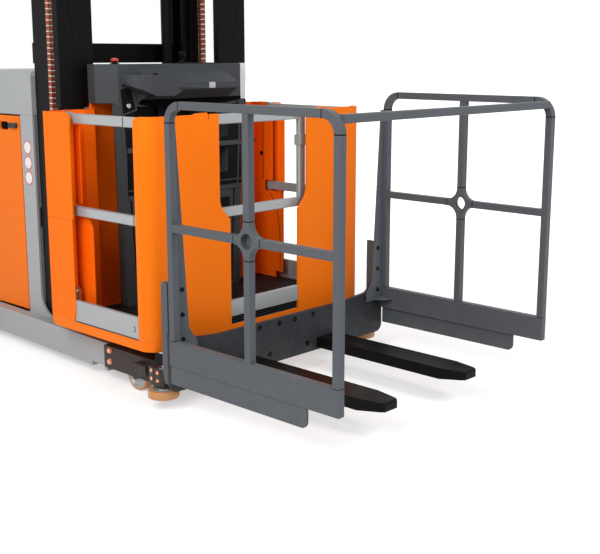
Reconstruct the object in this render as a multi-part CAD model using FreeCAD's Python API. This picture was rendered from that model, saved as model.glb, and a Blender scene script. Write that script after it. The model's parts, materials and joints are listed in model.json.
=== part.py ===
import FreeCAD, Part
import math
import os

from FreeCAD import Vector as V

# A man-up order picker, in millimetres. X runs to the forks, Y is across with
# the truck symmetric about Y = 0, Z is up and the floor is Z = 0.

# ---------------------------------------------------------------- driving sizes
guard_length = 1028.0        # fork face to the front of the side guard frames
truck_length = 2400.0        # fork face to the back of the hood
half_width = 782.0           # outer face of the side guard frames
face_x = (truck_length - guard_length) / 2   # the plane that carries the forks
rear_x = face_x - truck_length

# cab
cab_half_width = half_width - 22.0
cab_front_x = face_x - 160.0
cab_length = 825.0
cab_rear_x = cab_front_x - cab_length
cab_floor_bottom = 262.0
cab_floor_top = 310.0
mat_t = 8.0
cab_top = 1370.0
panel_t = 25.0               # folded cab panels, outer skin to inner skin
front_t = 15.0               # the same across the front
skin_t = 5.0                 # plates that lie on the outside of the posts
front_gap_upper = 312.0      # half width of the front opening above the step
front_gap_lower = 245.0      # and below it
gap_step_low = 850.0
gap_step_high = 920.0
rail_w = 50.0                # rails and gate bars, upright
rail_d = 26.0                # and across
rail_bevel = 4.0
rail_top_z = 1339.0          # centre line of the upper rails and gates
rail_mid_z = 876.0           # centre line of the lower rails and gates
kick_top = 423.0

# chassis
frame_bottom = 50.0
frame_top = 197.0
frame_front_x = face_x - 660.0
body_half = half_width - 232.0   # outer face of doors and pillars
frame_half_rear = body_half + 40.0
frame_half_front = body_half + 105.0
frame_wall = 60.0
floor_z = 62.0               # underside of the battery floor
floor_t = 20.0
pillar_front_x = face_x - 1420.0
pillar_width = 124.0
pillar_t = 16.0
drive_bay = 401.0            # length of the closed rear bay
seam_z = 1320.0              # joint between the doors and the top cover
cover_top = 1560.0
cover_wall = 30.0
cover_corner = 160.0
door_t = 40.0
shut_gap = 8.0
battery_height = 784.0
battery_rear_x = rear_x + drive_bay
door_length = pillar_front_x - pillar_width - battery_rear_x

# wheels
wheel_r = 75.0
wheel_w = 50.0
wheel_x = face_x - 424.0
wheel_y = frame_half_front - 30.0
axle_r = 15.0
roller_r = 75.0
roller_h = 40.0
roller_y = half_width - 54.0
roller_bottom = 60.0
roller_clear = 6.0           # between a roller and the bracket over it
roller_front_x = face_x - 118.0
roller_rear_x = rear_x + 330.0
drive_r = 155.0
drive_w = 100.0
drive_axle_r = 20.0
drive_x = rear_x + 210.0
bridge_z = 345.0             # underside of the plate that carries the drive turret
bridge_t = 25.0
stem_r = 45.0
motor_r = 110.0
motor_height = 330.0
run_clear = 0.05             # radial running fit of a pin
seat_gap = 0.3               # air gap between pieces of different bodies

# mast
mast_rear_x = face_x - 1405.0
mast_depth = 140.0
mast_half = body_half - 20.0
mast_flange = 60.0
mast_web = 12.0
mast_flange_t = 15.0
mast_bottom = floor_z + floor_t
mast_top = 2660.0
inner_step = 50.0            # sideways step from the outer to the inner profile
inner_clear = 5.0
inner_web = 12.0
inner_flange_t = 12.0
inner_bottom = mast_bottom + 8.0
inner_top = mast_top + 105.0
sheave_r = 102.0
chain_w = 36.0
chain_t = 26.0
cylinder_r = 32.0
cylinder_height = 2200.0
rod_r = 20.0

# guard frames
tube = 35.0
guard_top = 1450.0
guard_bend = 95.0
toe_top = 367.0
toe_bottom = 250.0
skirt_bottom = 160.0
skirt_length = 853.0
skirt_t = 12.0
skirt_inset = 5.0
cross_x = 514.0
cross_z = 891.0
hub_web_r = 62.0             # hollow curve between the arms of the hub
hub_hole_r = 33.0
tie_top = 1431.0

# fork carriage and forks
plate_half = half_width - 10.0
plate_t = 20.0
plate_bottom = 107.0
plate_top = 335.0
bracket_t = 12.0
fork_y = 304.0
fork_w = 156.0
fork_t = 56.0
fork_bottom = 120.0
fork_length = 925.0
fork_cap = 135.0


# ---------------------------------------------------------------------- helpers
def block(x0, x1, y0, y1, z0, z1):
    """A box from its two corners."""
    return Part.makeBox(x1 - x0, y1 - y0, z1 - z0, V(x0, y0, z0))


def rod(r, length, start, axis):
    return Part.makeCylinder(r, length, V(*start), V(*axis))


def ring(r_out, r_in, length, start, axis):
    return rod(r_out, length, start, axis).cut(rod(r_in, length, start, axis))


def corner(before, here, after, radius):
    """The two ends and the middle of the arc that rounds a corner."""
    back, on = (before - here).normalize(), (after - here).normalize()
    half_angle = back.getAngle(on) / 2
    setback = radius / math.tan(half_angle)
    middle = (back + on).normalize()
    centre = here + middle * (radius / math.sin(half_angle))
    return [here + back * setback, centre - middle * radius, here + on * setback]


def outline(points, place):
    """A closed wire through the points; a point's third value is its corner radius."""
    spots = [place(p[0], p[1]) for p in points]
    stops = []
    for i, p in enumerate(points):
        if len(p) == 3:
            stops.append(corner(spots[i - 1], spots[i], spots[(i + 1) % len(spots)], p[2]))
        else:
            stops.append([spots[i]])
    edges = []
    for stop, following in zip(stops, stops[1:] + stops[:1]):
        if len(stop) == 3:
            edges.append(Part.Arc(*stop).toShape())
        if (following[0] - stop[-1]).Length > 1e-6:
            edges.append(Part.makeLine(stop[-1], following[0]))
    return Part.Wire(edges)


def prism(points, plane, low, high):
    """An outline in a plane ("xz", "yz" or "xy") drawn out along the third axis."""
    place = {
        "xz": lambda a, b: V(a, low, b),
        "yz": lambda a, b: V(low, a, b),
        "xy": lambda a, b: V(a, b, low),
    }[plane]
    along = {"xz": V(0, 1, 0), "yz": V(1, 0, 0), "xy": V(0, 0, 1)}[plane]
    return Part.Face(outline(points, place)).extrude(along * (high - low))


def bevelled(a0, a1, b0, b1, bevel):
    """Points of a rectangle with its corners cut off, for a prism."""
    return [(a0 + bevel, b0), (a1 - bevel, b0), (a1, b0 + bevel), (a1, b1 - bevel),
            (a1 - bevel, b1), (a0 + bevel, b1), (a0, b1 - bevel), (a0, b0 + bevel)]


def tube_bar(start, end, axis, width, depth, bevel):
    """A bar along X, Y or Z from a station to an end, centred on a line."""
    x, y, z = start
    if axis == "x":
        section = bevelled(y - depth / 2, y + depth / 2, z - width / 2, z + width / 2, bevel)
        return prism(section, "yz", x, end)
    if axis == "y":
        section = bevelled(x - depth / 2, x + depth / 2, z - width / 2, z + width / 2, bevel)
        return prism(section, "xz", y, end)
    section = bevelled(x - width / 2, x + width / 2, y - depth / 2, y + depth / 2, bevel)
    return prism(section, "xy", z, end)


def fuse(shapes):
    first = shapes[0]
    return first.multiFuse(shapes[1:]).removeSplitter() if len(shapes) > 1 else first


def cut(shape, tools):
    return shape.cut(tools).removeSplitter()


def other_side(shape):
    """The same piece on the far side of the truck."""
    return shape.mirror(V(0, 0, 0), V(0, 1, 0))


def both(shape):
    return Part.makeCompound([shape, other_side(shape)])


# ---------------------------------------------------------------------- chassis
def member_half(x):
    """Half width of the chassis side members, which flare towards the front."""
    share = (x - rear_x) / (frame_front_x - rear_x)
    return frame_half_rear + (frame_half_front - frame_half_rear) * share


def side_member():
    """One side member with the step-up under its front end."""
    rear = rear_x + 60.0
    plan = [(rear, -member_half(rear)), (frame_front_x, -frame_half_front),
            (frame_front_x, -frame_half_front + frame_wall),
            (rear, -member_half(rear) + frame_wall)]
    member = prism(plan, "xy", frame_bottom, frame_top)
    notch_rear, notch_front, notch_rise = frame_front_x - 140.0, frame_front_x - 30.0, 22.0
    notch = block(notch_rear, notch_front, -frame_half_front - 1.0,
                  -frame_half_front + 2 * frame_wall, frame_bottom - 1.0,
                  frame_bottom + notch_rise)
    return cut(member, [notch])


def side_pillar():
    """Near-side pillar, its curved foot and the shelf that joins it to the member."""
    foot_r, shelf_t = 120.0, 20.0
    rear, front = pillar_front_x - pillar_width, pillar_front_x + foot_r
    bottom = frame_top - shelf_t
    pillar = block(rear, pillar_front_x, -body_half, -body_half + pillar_t, bottom, seam_z)
    foot = prism([(pillar_front_x, bottom), (front, bottom), (front, frame_top),
                  (pillar_front_x, frame_top, foot_r), (pillar_front_x, frame_top + foot_r)],
                 "xz", -body_half, -body_half + pillar_t)
    shelf_out = -member_half(pillar_front_x) + 10.0
    shelf = block(rear, front, shelf_out, -body_half, bottom, frame_top)
    return fuse([pillar, foot, shelf])


def drive_bridge():
    """Portal over the drive wheel that holds the turret's bearing."""
    rear, front = rear_x + 115.0, battery_rear_x
    side_y, side_t, web_in = body_half - 60.0, 16.0, 70.0
    top = block(rear, front - pillar_t, -side_y, side_y, bridge_z, bridge_z + bridge_t)
    top = top.cut(rod(stem_r + run_clear, bridge_t + 2.0, (drive_x, 0, bridge_z - 1.0),
                      (0, 0, 1)))
    sides = []
    for s in (-1, 1):
        y = s * side_y
        sides.append(block(rear, front, y - side_t / 2, y + side_t / 2, floor_z,
                           bridge_z + bridge_t))
        inner, outer = sorted((y - s * side_t, y + s * web_in))
        sides.append(block(rear, front, inner, outer, 2 * frame_bottom,
                           2 * frame_bottom + floor_t))
    return [top] + sides


def chassis_frame():
    floor_front = mast_rear_x + mast_depth
    reach_rear = member_half(battery_rear_x) - frame_wall + skin_t
    reach_front = member_half(floor_front) - frame_wall + skin_t
    floor = prism([(battery_rear_x, -reach_rear), (floor_front, -reach_front),
                   (floor_front, reach_front), (battery_rear_x, reach_rear)], "xy", floor_z,
                  floor_z + floor_t)
    wall_y = body_half - door_t - 20.0
    bulkhead = block(battery_rear_x - 12.0, battery_rear_x, -wall_y, wall_y, floor_z, seam_z)
    front_wall = block(pillar_front_x - 30.0, pillar_front_x - 10.0, -body_half + pillar_t,
                       body_half - pillar_t, floor_z + floor_t, seam_z)
    near = [side_member(), side_pillar(), door_hinge(),
            roller_bracket(roller_rear_x, member_half(roller_rear_x) - 10.0)]
    return fuse(near + [other_side(piece) for piece in near] + [floor, bulkhead, front_wall]
                + drive_bridge())


door_axis_x = battery_rear_x - 5.0
door_axis_y = body_half + 8.0
door_pin_r = 5.0
hinge_wall = 4.0             # metal round the pin
hinge_end = 10.0             # height of each fixed knuckle
hinge_low = frame_top + 63.0
hinge_high = seam_z - 50.0


def door_hinge():
    """Fixed half of a near-side door hinge: a long pin held top and bottom by a leaf."""
    x, y = door_axis_x, -door_axis_y
    reach = door_pin_r + 1.0
    pin = rod(door_pin_r, hinge_high - hinge_low, (x, y, hinge_low), (0, 0, 1))
    leaves = [block(x - reach, x, y - reach, -body_half + door_t + 22.0, z, z + hinge_end)
              for z in (hinge_low, hinge_high - hinge_end)]
    return fuse([pin] + leaves)


def door_knuckle():
    """Moving half of the same hinge, a strip along the outside of the door."""
    x, y, reach = door_axis_x, -door_axis_y, door_pin_r + hinge_wall
    z0, z1 = hinge_low + hinge_end + seat_gap, hinge_high - hinge_end - seat_gap
    plan = bevelled(x - reach, x + reach, y - reach, y + reach, 5.0)
    leaf = block(x, x + 30.0, y + 1.0, -body_half, z0, z1)
    return cut(fuse([prism(plan, "xy", z0, z1), leaf]),
               [rod(door_pin_r + run_clear, z1 - z0, (x, y, z0), (0, 0, 1))])


def battery_block():
    half = body_half - door_t - 32.0
    bottom = floor_z + floor_t
    return block(battery_rear_x + 12.0, pillar_front_x - 42.0, -half, half, bottom,
                 bottom + battery_height)


def rear_hood():
    """Hood round the drive bay, its back corners rounded, open below and to the front."""
    back, front = rear_x, battery_rear_x - 18.0
    side, wall = body_half, cover_wall
    inner_r = cover_corner - wall
    plan = [(front, -side), (front, -side + wall), (back + wall, -side + wall, inner_r),
            (back + wall, side - wall, inner_r), (front, side - wall), (front, side),
            (back, side, cover_corner), (back, -side, cover_corner)]
    shell = prism(plan, "xy", floor_z, seam_z)
    side_cut = block(back + 40.0, front + 1.0, -side - 1.0, side + 1.0, floor_z - 1.0,
                     frame_top + 3.0)
    return cut(shell, [side_cut])


def top_cover():
    """Lid over the drive bay and the battery, with a sloping edge round its top."""
    back, front, side, wall, edge = rear_x, pillar_front_x, body_half, cover_wall, 25.0
    plan = [(front, -side), (front, side), (back, side, cover_corner),
            (back, -side, cover_corner)]
    outer = prism(plan, "xy", seam_z, cover_top)
    top_edges = [e for e in outer.Edges if e.BoundBox.ZMin > cover_top - 1.0]
    outer = outer.makeChamfer(edge, top_edges)
    inner_r = cover_corner - wall
    hollow = [(front - wall, -side + wall), (front - wall, side - wall),
              (back + wall, side - wall, inner_r), (back + wall, -side + wall, inner_r)]
    return cut(outer, [prism(hollow, "xy", seam_z - 1.0, cover_top - wall)])


def battery_door():
    """Near-side door, hinged at its rear edge, with a latch pocket and a lock knob."""
    door = block(battery_rear_x, battery_rear_x + door_length - shut_gap, -body_half,
                 -body_half + door_t, frame_top + shut_gap, seam_z - shut_gap)
    latch_x, latch_w, latch_h = battery_rear_x + door_length - 131.0, 85.0, 46.0
    latch_top = seam_z - 44.0
    pocket = prism(bevelled(latch_x - latch_w, latch_x, latch_top - latch_h, latch_top, 6.0),
                   "xz", -body_half - 1.0, -body_half + door_t / 2)
    knob_x, knob_z, knob_h = latch_x + 28.0, latch_top - 18.0, 28.0
    knob = prism(bevelled(knob_x, knob_x + 72.0, knob_z - knob_h / 2, knob_z + knob_h / 2,
                          8.0), "xz", -body_half - 16.0, -body_half + 4.0)
    return fuse([cut(door, [pocket]), knob, door_knuckle()])


# ------------------------------------------------------------------- load wheels
arm_outer = wheel_y + wheel_w / 2 + 25.0
arm_inner = wheel_y - wheel_w / 2 - 25.0
arm_wall = 20.0
arm_bottom = 78.0
arm_top = 195.0
arm_nose_z = 141.0           # underside of the arm over the guide roller
arm_front_x = face_x - 75.0


def load_arm():
    """Fork of two plates and a deck that holds a load wheel and a guide roller."""
    plates = []
    for y0 in (-arm_outer, -arm_inner - arm_wall):
        side = [(frame_front_x, arm_bottom), (wheel_x + 135.0, arm_bottom),
                (arm_front_x - 165.0, arm_nose_z), (arm_front_x, arm_nose_z),
                (arm_front_x, arm_top), (frame_front_x, arm_top)]
        plates.append(prism(side, "xz", y0, y0 + arm_wall))
    y0, y1 = -arm_outer + arm_wall / 2, -arm_inner - arm_wall / 2
    deck = block(frame_front_x, arm_front_x, y0, y1, arm_top - 18.0, arm_top)
    root = block(frame_front_x, wheel_x - wheel_r - 73.0, y0, y1, arm_bottom + 10.0, arm_top)
    arm_pin = rod(axle_r, y1 - y0, (wheel_x, y0, wheel_r), (0, 1, 0))
    lug_rear, lug_front = wheel_x + 61.0, wheel_x + 159.0
    lug_top, lug_bottom = arm_top - 24.0, arm_nose_z - 18.0
    lug = prism([(lug_rear, lug_top), (lug_front, lug_top), (lug_front, lug_bottom),
                 (lug_rear + 24.0, lug_bottom)], "xz", -arm_outer - 45.0, -arm_outer)
    return fuse(plates + [deck, root, arm_pin, lug, roller_clamp()])


def roller_clamp():
    """Block on the side of the arm's nose that holds the front guide roller's pin."""
    rear, front, gap_x = roller_front_x - 98.0, roller_front_x + 16.0, roller_front_x - 50.0
    block_out, inner = roller_y + 22.0, arm_outer - arm_wall / 2
    plan = [(rear, -inner), (rear, 12.0 - block_out), (gap_x - 4.0, 4.0 - block_out),
            (gap_x, 16.0 - block_out), (gap_x + 4.0, -block_out), (front - 14.0, -block_out),
            (front, 14.0 - block_out), (front, -inner)]
    body = prism(plan, "xy", roller_bottom + roller_h + roller_clear, arm_top)
    pin = rod(axle_r, roller_h + 2 * roller_clear, (roller_front_x, -roller_y, roller_bottom),
              (0, 0, 1))
    return fuse([body, pin])


def wheel(r, width, bore):
    """A tyred wheel about the Z axis, standing on Z = 0."""
    return ring(r, bore + run_clear, width, (0, 0, 0), (0, 0, 1))


def upright_wheel(r, width, bore, x, y):
    turned = wheel(r, width, bore)
    turned.rotate(V(0, 0, 0), V(1, 0, 0), 90)
    turned.translate(V(x, y + width / 2, r))
    return turned


def load_wheel():
    return upright_wheel(wheel_r, wheel_w, axle_r, wheel_x, -wheel_y)


def guide_roller(x):
    roller = wheel(roller_r, roller_h, axle_r)
    roller.translate(V(x, -roller_y, roller_bottom))
    return roller


def roller_bracket(x, inner_y):
    """The plate that carries a guide roller on its pin, fixed to the chassis side."""
    half, plate_h = 50.0, 16.0
    bottom = roller_bottom + roller_h + roller_clear
    side, end = roller_y + 0.4 * half, roller_y + half
    plan = [(x - half, -inner_y), (x - half, -side), (x - 0.4 * half, -end),
            (x + 0.4 * half, -end), (x + half, -side), (x + half, -inner_y)]
    plate = prism(plan, "xy", bottom, bottom + plate_h)
    pin = rod(axle_r, roller_h + roller_clear, (x, -roller_y, roller_bottom), (0, 0, 1))
    return fuse([plate, pin])


def drive_turret():
    """Steered drive unit: a fork under the bridge, its stem, and the motor on top."""
    top, crown_t, leg_w, leg_t = bridge_z - seat_gap, 25.0, 120.0, 25.0
    leg_in = drive_w / 2 + 20.0
    leg_out = leg_in + leg_t
    crown = block(drive_x - leg_w / 2, drive_x + leg_w / 2, -leg_out, leg_out, top - crown_t,
                  top)
    legs = [block(drive_x - leg_w / 2, drive_x + leg_w / 2, y0, y0 + leg_t, drive_r - 35.0,
                  top - crown_t) for y0 in (-leg_out, leg_in)]
    axle = rod(drive_axle_r, 2 * leg_in + 20.0, (drive_x, -leg_in - 10.0, drive_r), (0, 1, 0))
    motor_z = bridge_z + bridge_t + seat_gap
    stem = rod(stem_r, motor_z - top + 2.0, (drive_x, 0, top - 1.0), (0, 0, 1))
    motor = rod(motor_r, motor_height, (drive_x, 0, motor_z), (0, 0, 1))
    return fuse([crown, axle, stem, motor] + legs)


def drive_wheel():
    return upright_wheel(drive_r, drive_w, drive_axle_r, drive_x, 0.0)


# -------------------------------------------------------------------------- mast
mast_front_x = mast_rear_x + mast_depth
mast_mid_x = (mast_rear_x + mast_front_x) / 2
inner_half = mast_half - inner_step
inner_rear_x = mast_rear_x + mast_flange_t + inner_clear
inner_front_x = mast_front_x - mast_flange_t - inner_clear
chain_y = mast_half
chain_end_z = mast_top - 240.0  # where the rear strand is anchored
crown_h = 40.0
cylinder_y = inner_half - mast_flange - 80.0


def channel(x0, x1, half, flange, web, flange_t, z0, z1):
    """A mast profile, its mouth towards the middle of the truck."""
    y_out, y_in = -half, -half + flange
    plan = [(x0, y_out), (x1, y_out), (x1, y_in), (x1 - flange_t, y_in),
            (x1 - flange_t, y_out + web), (x0 + flange_t, y_out + web),
            (x0 + flange_t, y_in), (x0, y_in)]
    return prism(plan, "xy", z0, z1)


def outer_mast():
    profile = channel(mast_rear_x, mast_front_x, mast_half, mast_flange, mast_web,
                      mast_flange_t, mast_bottom, mast_top)
    tie_h, tie_t = 110.0, 12.0
    ties = [block(mast_rear_x - tie_t, mast_rear_x, -mast_half, mast_half, z, z + tie_h)
            for z in (0.263 * mast_top, 0.602 * mast_top, 0.936 * mast_top)]
    lug = block(mast_mid_x - sheave_r - chain_t, mast_rear_x + 1.0, -chain_y - chain_w / 2,
                -chain_y + chain_w / 2, chain_end_z - crown_h, chain_end_z - seat_gap)
    return fuse([profile, other_side(profile), lug, other_side(lug)] + ties)


def inner_mast():
    profile = channel(inner_rear_x, inner_front_x, inner_half, mast_flange, inner_web,
                      inner_flange_t, inner_bottom, inner_top)
    roller_r_out = mast_depth / 2 - mast_flange_t - 0.5
    roller_y_out = mast_half - mast_web - 6.0
    roller = rod(roller_r_out, roller_y_out - inner_half,
                 (mast_mid_x, -roller_y_out, inner_bottom + 90.0), (0, 1, 0))
    crown = block(inner_rear_x, inner_front_x, -inner_half, inner_half, inner_top,
                  inner_top + crown_h)
    axle_z, axle_out = inner_top + crown_h / 2, chain_y + 20.0
    axle = tube_bar((mast_mid_x, -axle_out, axle_z), -inner_half + 1.0, "y", 32.0, 32.0, 9.0)
    sheave = rod(sheave_r - chain_t / 2 - seat_gap, chain_w + 4.0,
                 (mast_mid_x, -chain_y - chain_w / 2 - 2.0, axle_z), (0, 1, 0))
    side = fuse([profile, axle, sheave, roller])
    return fuse([side, other_side(side), crown])


def lift_cylinders():
    body = rod(cylinder_r, cylinder_height, (mast_mid_x, -cylinder_y, mast_bottom), (0, 0, 1))
    bore = rod(rod_r + run_clear, cylinder_height, (mast_mid_x, -cylinder_y,
                                                    mast_bottom + 30.0), (0, 0, 1))
    return both(body.cut(bore))


def lift_rods():
    foot = mast_bottom + 38.0
    return both(rod(rod_r, inner_top - foot, (mast_mid_x, -cylinder_y, foot), (0, 0, 1)))


anchor_z = 730.0             # top of the lug on the carriage that the chain pulls


def leaf_chain():
    """Leaf chain over the sheave: the front strand runs to the carriage."""
    top = inner_top + crown_h / 2
    y0, y1 = -chain_y - chain_w / 2, -chain_y + chain_w / 2
    outer, inner = sheave_r + chain_t / 2, sheave_r - chain_t / 2
    strands = [block(mast_mid_x + a, mast_mid_x + b, y0, y1, z, top)
               for a, b, z in ((inner, outer, anchor_z),
                               (-outer, -inner, chain_end_z))]
    bow = ring(outer, inner, chain_w, (mast_mid_x, y0, top), (0, 1, 0))
    lower = block(mast_mid_x - outer - 1.0, mast_mid_x + outer + 1.0, y0 - 1, y1 + 1,
                  top - 2 * outer, top)
    return fuse(strands + [bow.cut(lower)])


# ----------------------------------------------------------------------- carriage
carriage_y = inner_half - mast_flange - 8.0


def carriage():
    """Roller plates in the inner mast, two cross members and the chain anchors."""
    plate_z = cab_floor_top + 690.0
    plate = block(mast_rear_x + 25.0, cab_rear_x, -carriage_y, -carriage_y + 22.0,
                  cab_floor_bottom + 10.0, plate_z)
    roller_r_in = (inner_front_x - inner_rear_x) / 2 - inner_flange_t - 0.5
    y0 = -inner_half + inner_web + 4.0
    rollers = [rod(roller_r_in, -carriage_y + 4.0 - y0, (mast_mid_x, y0, z), (0, 1, 0))
               for z in (cab_floor_top + 70.0, plate_z - 70.0)]
    lug = block(mast_front_x + 14.0, cab_rear_x, -chain_y - 18.0, -carriage_y + 10.0,
                anchor_z - crown_h, anchor_z)
    side = fuse([plate, lug] + rollers)
    cross = [block(mast_front_x + 20.0, mast_front_x + 40.0, -carriage_y, carriage_y, z,
                   z + 120.0) for z in (cab_floor_bottom + 38.0, plate_z - 140.0)]
    return fuse([side, other_side(side)] + cross)


# ---------------------------------------------------------------------------- cab
post_front_x = face_x - 784.0
rim_rise = 33.0              # the rim is this much higher at the rear of the cab
plate_low = 834.0            # lower edge of the wide plate on the rear post
facet_x = cab_front_x - 61.0     # where the side of a front panel begins to turn in
facet_run = 32.5             # how far in it has come where it would meet the front
corner_r = 62.0              # and the curve that leads into the front


def cab_corner(inset, depth):
    """Near front corner of the cab: a flat facet, then a curve into the front."""
    x, y = cab_front_x - depth, -cab_half_width + inset
    return [(facet_x - inset / 4, y), (x, y + facet_run - depth / 2, corner_r - inset)]


def cab_floor():
    """Floor tray with rounded front corners and a rim that rises at the rear posts."""
    half = cab_half_width
    near = [(cab_rear_x, -half)] + cab_corner(0.0, 0.0)
    slab = prism(near + [(p[0], -p[1], *p[2:]) for p in near[::-1]], "xy",
                 cab_floor_bottom, cab_floor_top)
    heel = prism([(cab_rear_x - 1.0, cab_floor_bottom - 1.0),
                  (cab_rear_x + 40.0, cab_floor_bottom - 1.0),
                  (cab_rear_x + 40.0, cab_floor_bottom), (cab_rear_x, cab_floor_bottom, 39.0),
                  (cab_rear_x, cab_floor_bottom + 40.0),
                  (cab_rear_x - 1.0, cab_floor_bottom + 40.0)], "xz", -half - 1.0, half + 1.0)
    slab = cut(slab, [heel])
    rise = prism([(cab_rear_x, cab_floor_top), (post_front_x, cab_floor_top),
                  (cab_rear_x, cab_floor_top + rim_rise)], "xz", -half, -half + skin_t)
    return fuse([slab, rise, other_side(rise)])


def floor_mat():
    side = cab_half_width - 45.0
    return block(cab_rear_x + 70.0, cab_front_x - panel_t - 10.0, -side, side, cab_floor_top,
                 cab_floor_top + mat_t)


flange_y = cab_half_width - 77.0


def rear_wall():
    """Folded wall behind the operator: a column and a side flange each side, a raised middle."""
    x0, x1 = cab_rear_x, cab_rear_x + panel_t
    deep, slope = 40.0, 30.0
    half = cab_half_width - panel_t - 10.0
    column_out, column_in = half - 135.0, half - 265.0
    line = [(x1, -half)]
    for s in (-1, 1):
        stations = (column_out, column_out - slope, column_in + slope, column_in)
        for y, x in list(zip(stations, (x1, x1 + deep, x1 + deep, x1)))[::-s]:
            line.append((x, s * y))
    line += [(x1, half), (x0, half), (x0, -half)]
    upper_half, upper_top = 478.0, cab_top + 190.0
    upper = prism([(-upper_half, cab_top - 1.0), (-upper_half, upper_top, 30.0),
                   (upper_half, upper_top, 30.0), (upper_half, cab_top - 1.0)], "yz", x0, x1)
    foot_x, flange_x, notch_x = post_front_x + 23.0, post_front_x - 18.0, post_front_x - 80.0
    slack = 6.0
    notch_low = rail_mid_z - rail_w / 2 - slack
    notch_high = rail_mid_z + rail_w / 2 + slack
    upper_low = rail_top_z - rail_w / 2 - slack
    flange_z = cab_floor_top + mat_t + 1.0
    flange = prism([(x0, flange_z), (foot_x, flange_z), (foot_x, notch_low),
                    (notch_x, notch_low), (notch_x, notch_high), (foot_x - 24.0, notch_high),
                    (flange_x, notch_high + 50.0, 50.0), (flange_x, upper_low),
                    (notch_x, upper_low), (notch_x, cab_top), (x0, cab_top)], "xz",
                   -flange_y, -flange_y + skin_t)
    return fuse([prism(line, "xy", cab_floor_top, cab_top), upper, flange, other_side(flange)])


def rear_post():
    """Rear corner post with a wide plate above and a narrow one below."""
    y0, y1 = -cab_half_width, -cab_half_width + skin_t
    post = prism([(cab_rear_x, cab_floor_top), (post_front_x, cab_floor_top),
                  (post_front_x, cab_top - 2.0, 40.0), (cab_rear_x, cab_top - 2.0)], "xz", y1,
                 y1 + panel_t)
    skin = prism([(cab_rear_x, plate_low), (post_front_x + 23.0, plate_low, 12.0),
                  (post_front_x + 23.0, cab_top, 55.0), (cab_rear_x, cab_top)], "xz", y0, y1)
    lower = prism([(cab_rear_x, cab_floor_top + rim_rise + 1.0),
                   (post_front_x, cab_floor_top + 1.0), (post_front_x, plate_low - 1.0),
                   (cab_rear_x, plate_low - 1.0)], "xz", y0, y1)
    return fuse([post, skin, lower])


def front_panel():
    """Near-side corner post and front panel, folded from one sheet."""
    y0, side_front = -cab_half_width, cab_front_x - 95.0
    inner_x = cab_front_x - front_t
    plan = [(side_front, y0)] + cab_corner(0.0, 0.0)
    plan += [(cab_front_x, -front_gap_lower), (inner_x, -front_gap_lower)]
    plan += cab_corner(panel_t, front_t)[::-1] + [(side_front, y0 + panel_t)]
    panel = prism(plan, "xy", cab_floor_top, cab_top)
    round_r, bend = 35.0, 100.0
    top_rear = prism([(side_front - 1.0, cab_top - round_r - 1.0),
                      (side_front, cab_top - round_r - 1.0), (side_front, cab_top, round_r),
                      (side_front + round_r + 1.0, cab_top),
                      (side_front + round_r + 1.0, cab_top + 1.0),
                      (side_front - 1.0, cab_top + 1.0)], "xz", y0 - 1.0, y0 + panel_t + 1.0)
    step = [(-front_gap_lower + 1.0, gap_step_low - 1.0),
            (-front_gap_lower - 1.0, gap_step_low, bend),
            (-front_gap_upper, gap_step_high, bend),
            (-front_gap_upper, cab_top + 1.0), (-front_gap_lower + 1.0, cab_top + 1.0)]
    return cut(panel, [prism(step, "yz", inner_x - 1.0, cab_front_x + 1.0), top_rear])


def kick_plates():
    """Upright plates along the foot of the side openings and of the front one."""
    y0 = -cab_half_width + skin_t
    side = block(post_front_x + 4.0, cab_front_x - 97.0, y0, y0 + 20.0, cab_floor_top, kick_top)
    recess_top, half = cab_floor_top + 40.0, front_gap_lower - 2.0
    inner_x, plate_x, toe_x = cab_front_x - panel_t, cab_front_x - 3.0, cab_front_x - 15.0
    front = prism([(inner_x, cab_floor_top), (toe_x, cab_floor_top), (toe_x, recess_top),
                   (plate_x, recess_top), (plate_x, kick_top + 9.0, rail_bevel),
                   (inner_x, kick_top + 9.0)], "xz", -half, half)
    return Part.makeCompound([side, other_side(side), front])


gate_hinge_x = face_x - 835.0
gate_y = cab_half_width - 55.0
gate_ends = {rail_mid_z: face_x - 323.0, rail_top_z: face_x - 386.0}
gate_low = rail_mid_z - rail_w / 2
gate_high = rail_top_z + rail_w / 2
upright_w = 24.0
hinge_pin_r = 8.0
lug_t = 6.0
front_gate_x = cab_front_x - panel_t - 36.0
front_hinge_y = front_gap_upper + 13.0


def hinge_pin(x, y, lugs):
    """An upright pin with a lug under and over the gate that turns on it."""
    pin = rod(hinge_pin_r, gate_high - gate_low + 2 * seat_gap, (x, y, gate_low - seat_gap),
              (0, 0, 1))
    low, high = gate_low - seat_gap - lug_t, gate_high + seat_gap
    plates = [block(x0, x1, y0, y1, z, z + lug_t)
              for (x0, x1, y0, y1), z in zip(lugs, (low, high))]
    return fuse([pin] + plates)


def gate_hinges():
    """The pins of the side gates on the rear posts and of the front gate on its panel."""
    reach = hinge_pin_r + 4.0
    side_lug = (gate_hinge_x - reach - 16.0, gate_hinge_x + reach,
                -cab_half_width + skin_t + panel_t, -gate_y + reach)
    side = hinge_pin(gate_hinge_x, -gate_y, (side_lug, side_lug))
    front_lug = (front_gate_x - reach, cab_front_x - front_t, front_hinge_y - reach,
                 front_hinge_y + 2 * reach)
    front = hinge_pin(front_gate_x, front_hinge_y, (front_lug, front_lug))
    return Part.makeCompound([side, other_side(side), front])


def side_gate():
    """Near-side gate: two bars on an upright that turns on the hinge pin."""
    upright = block(gate_hinge_x - upright_w / 2, gate_hinge_x + upright_w / 2,
                    -gate_y - upright_w / 2, -gate_y + upright_w / 2, gate_low, gate_high)
    bars = [tube_bar((gate_hinge_x, -gate_y, z), end, "x", rail_w, rail_d, rail_bevel)
            for z, end in gate_ends.items()]
    bore = rod(hinge_pin_r + run_clear, gate_high - gate_low, (gate_hinge_x, -gate_y, gate_low),
               (0, 0, 1))
    return cut(fuse([upright] + bars), [bore])


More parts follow.
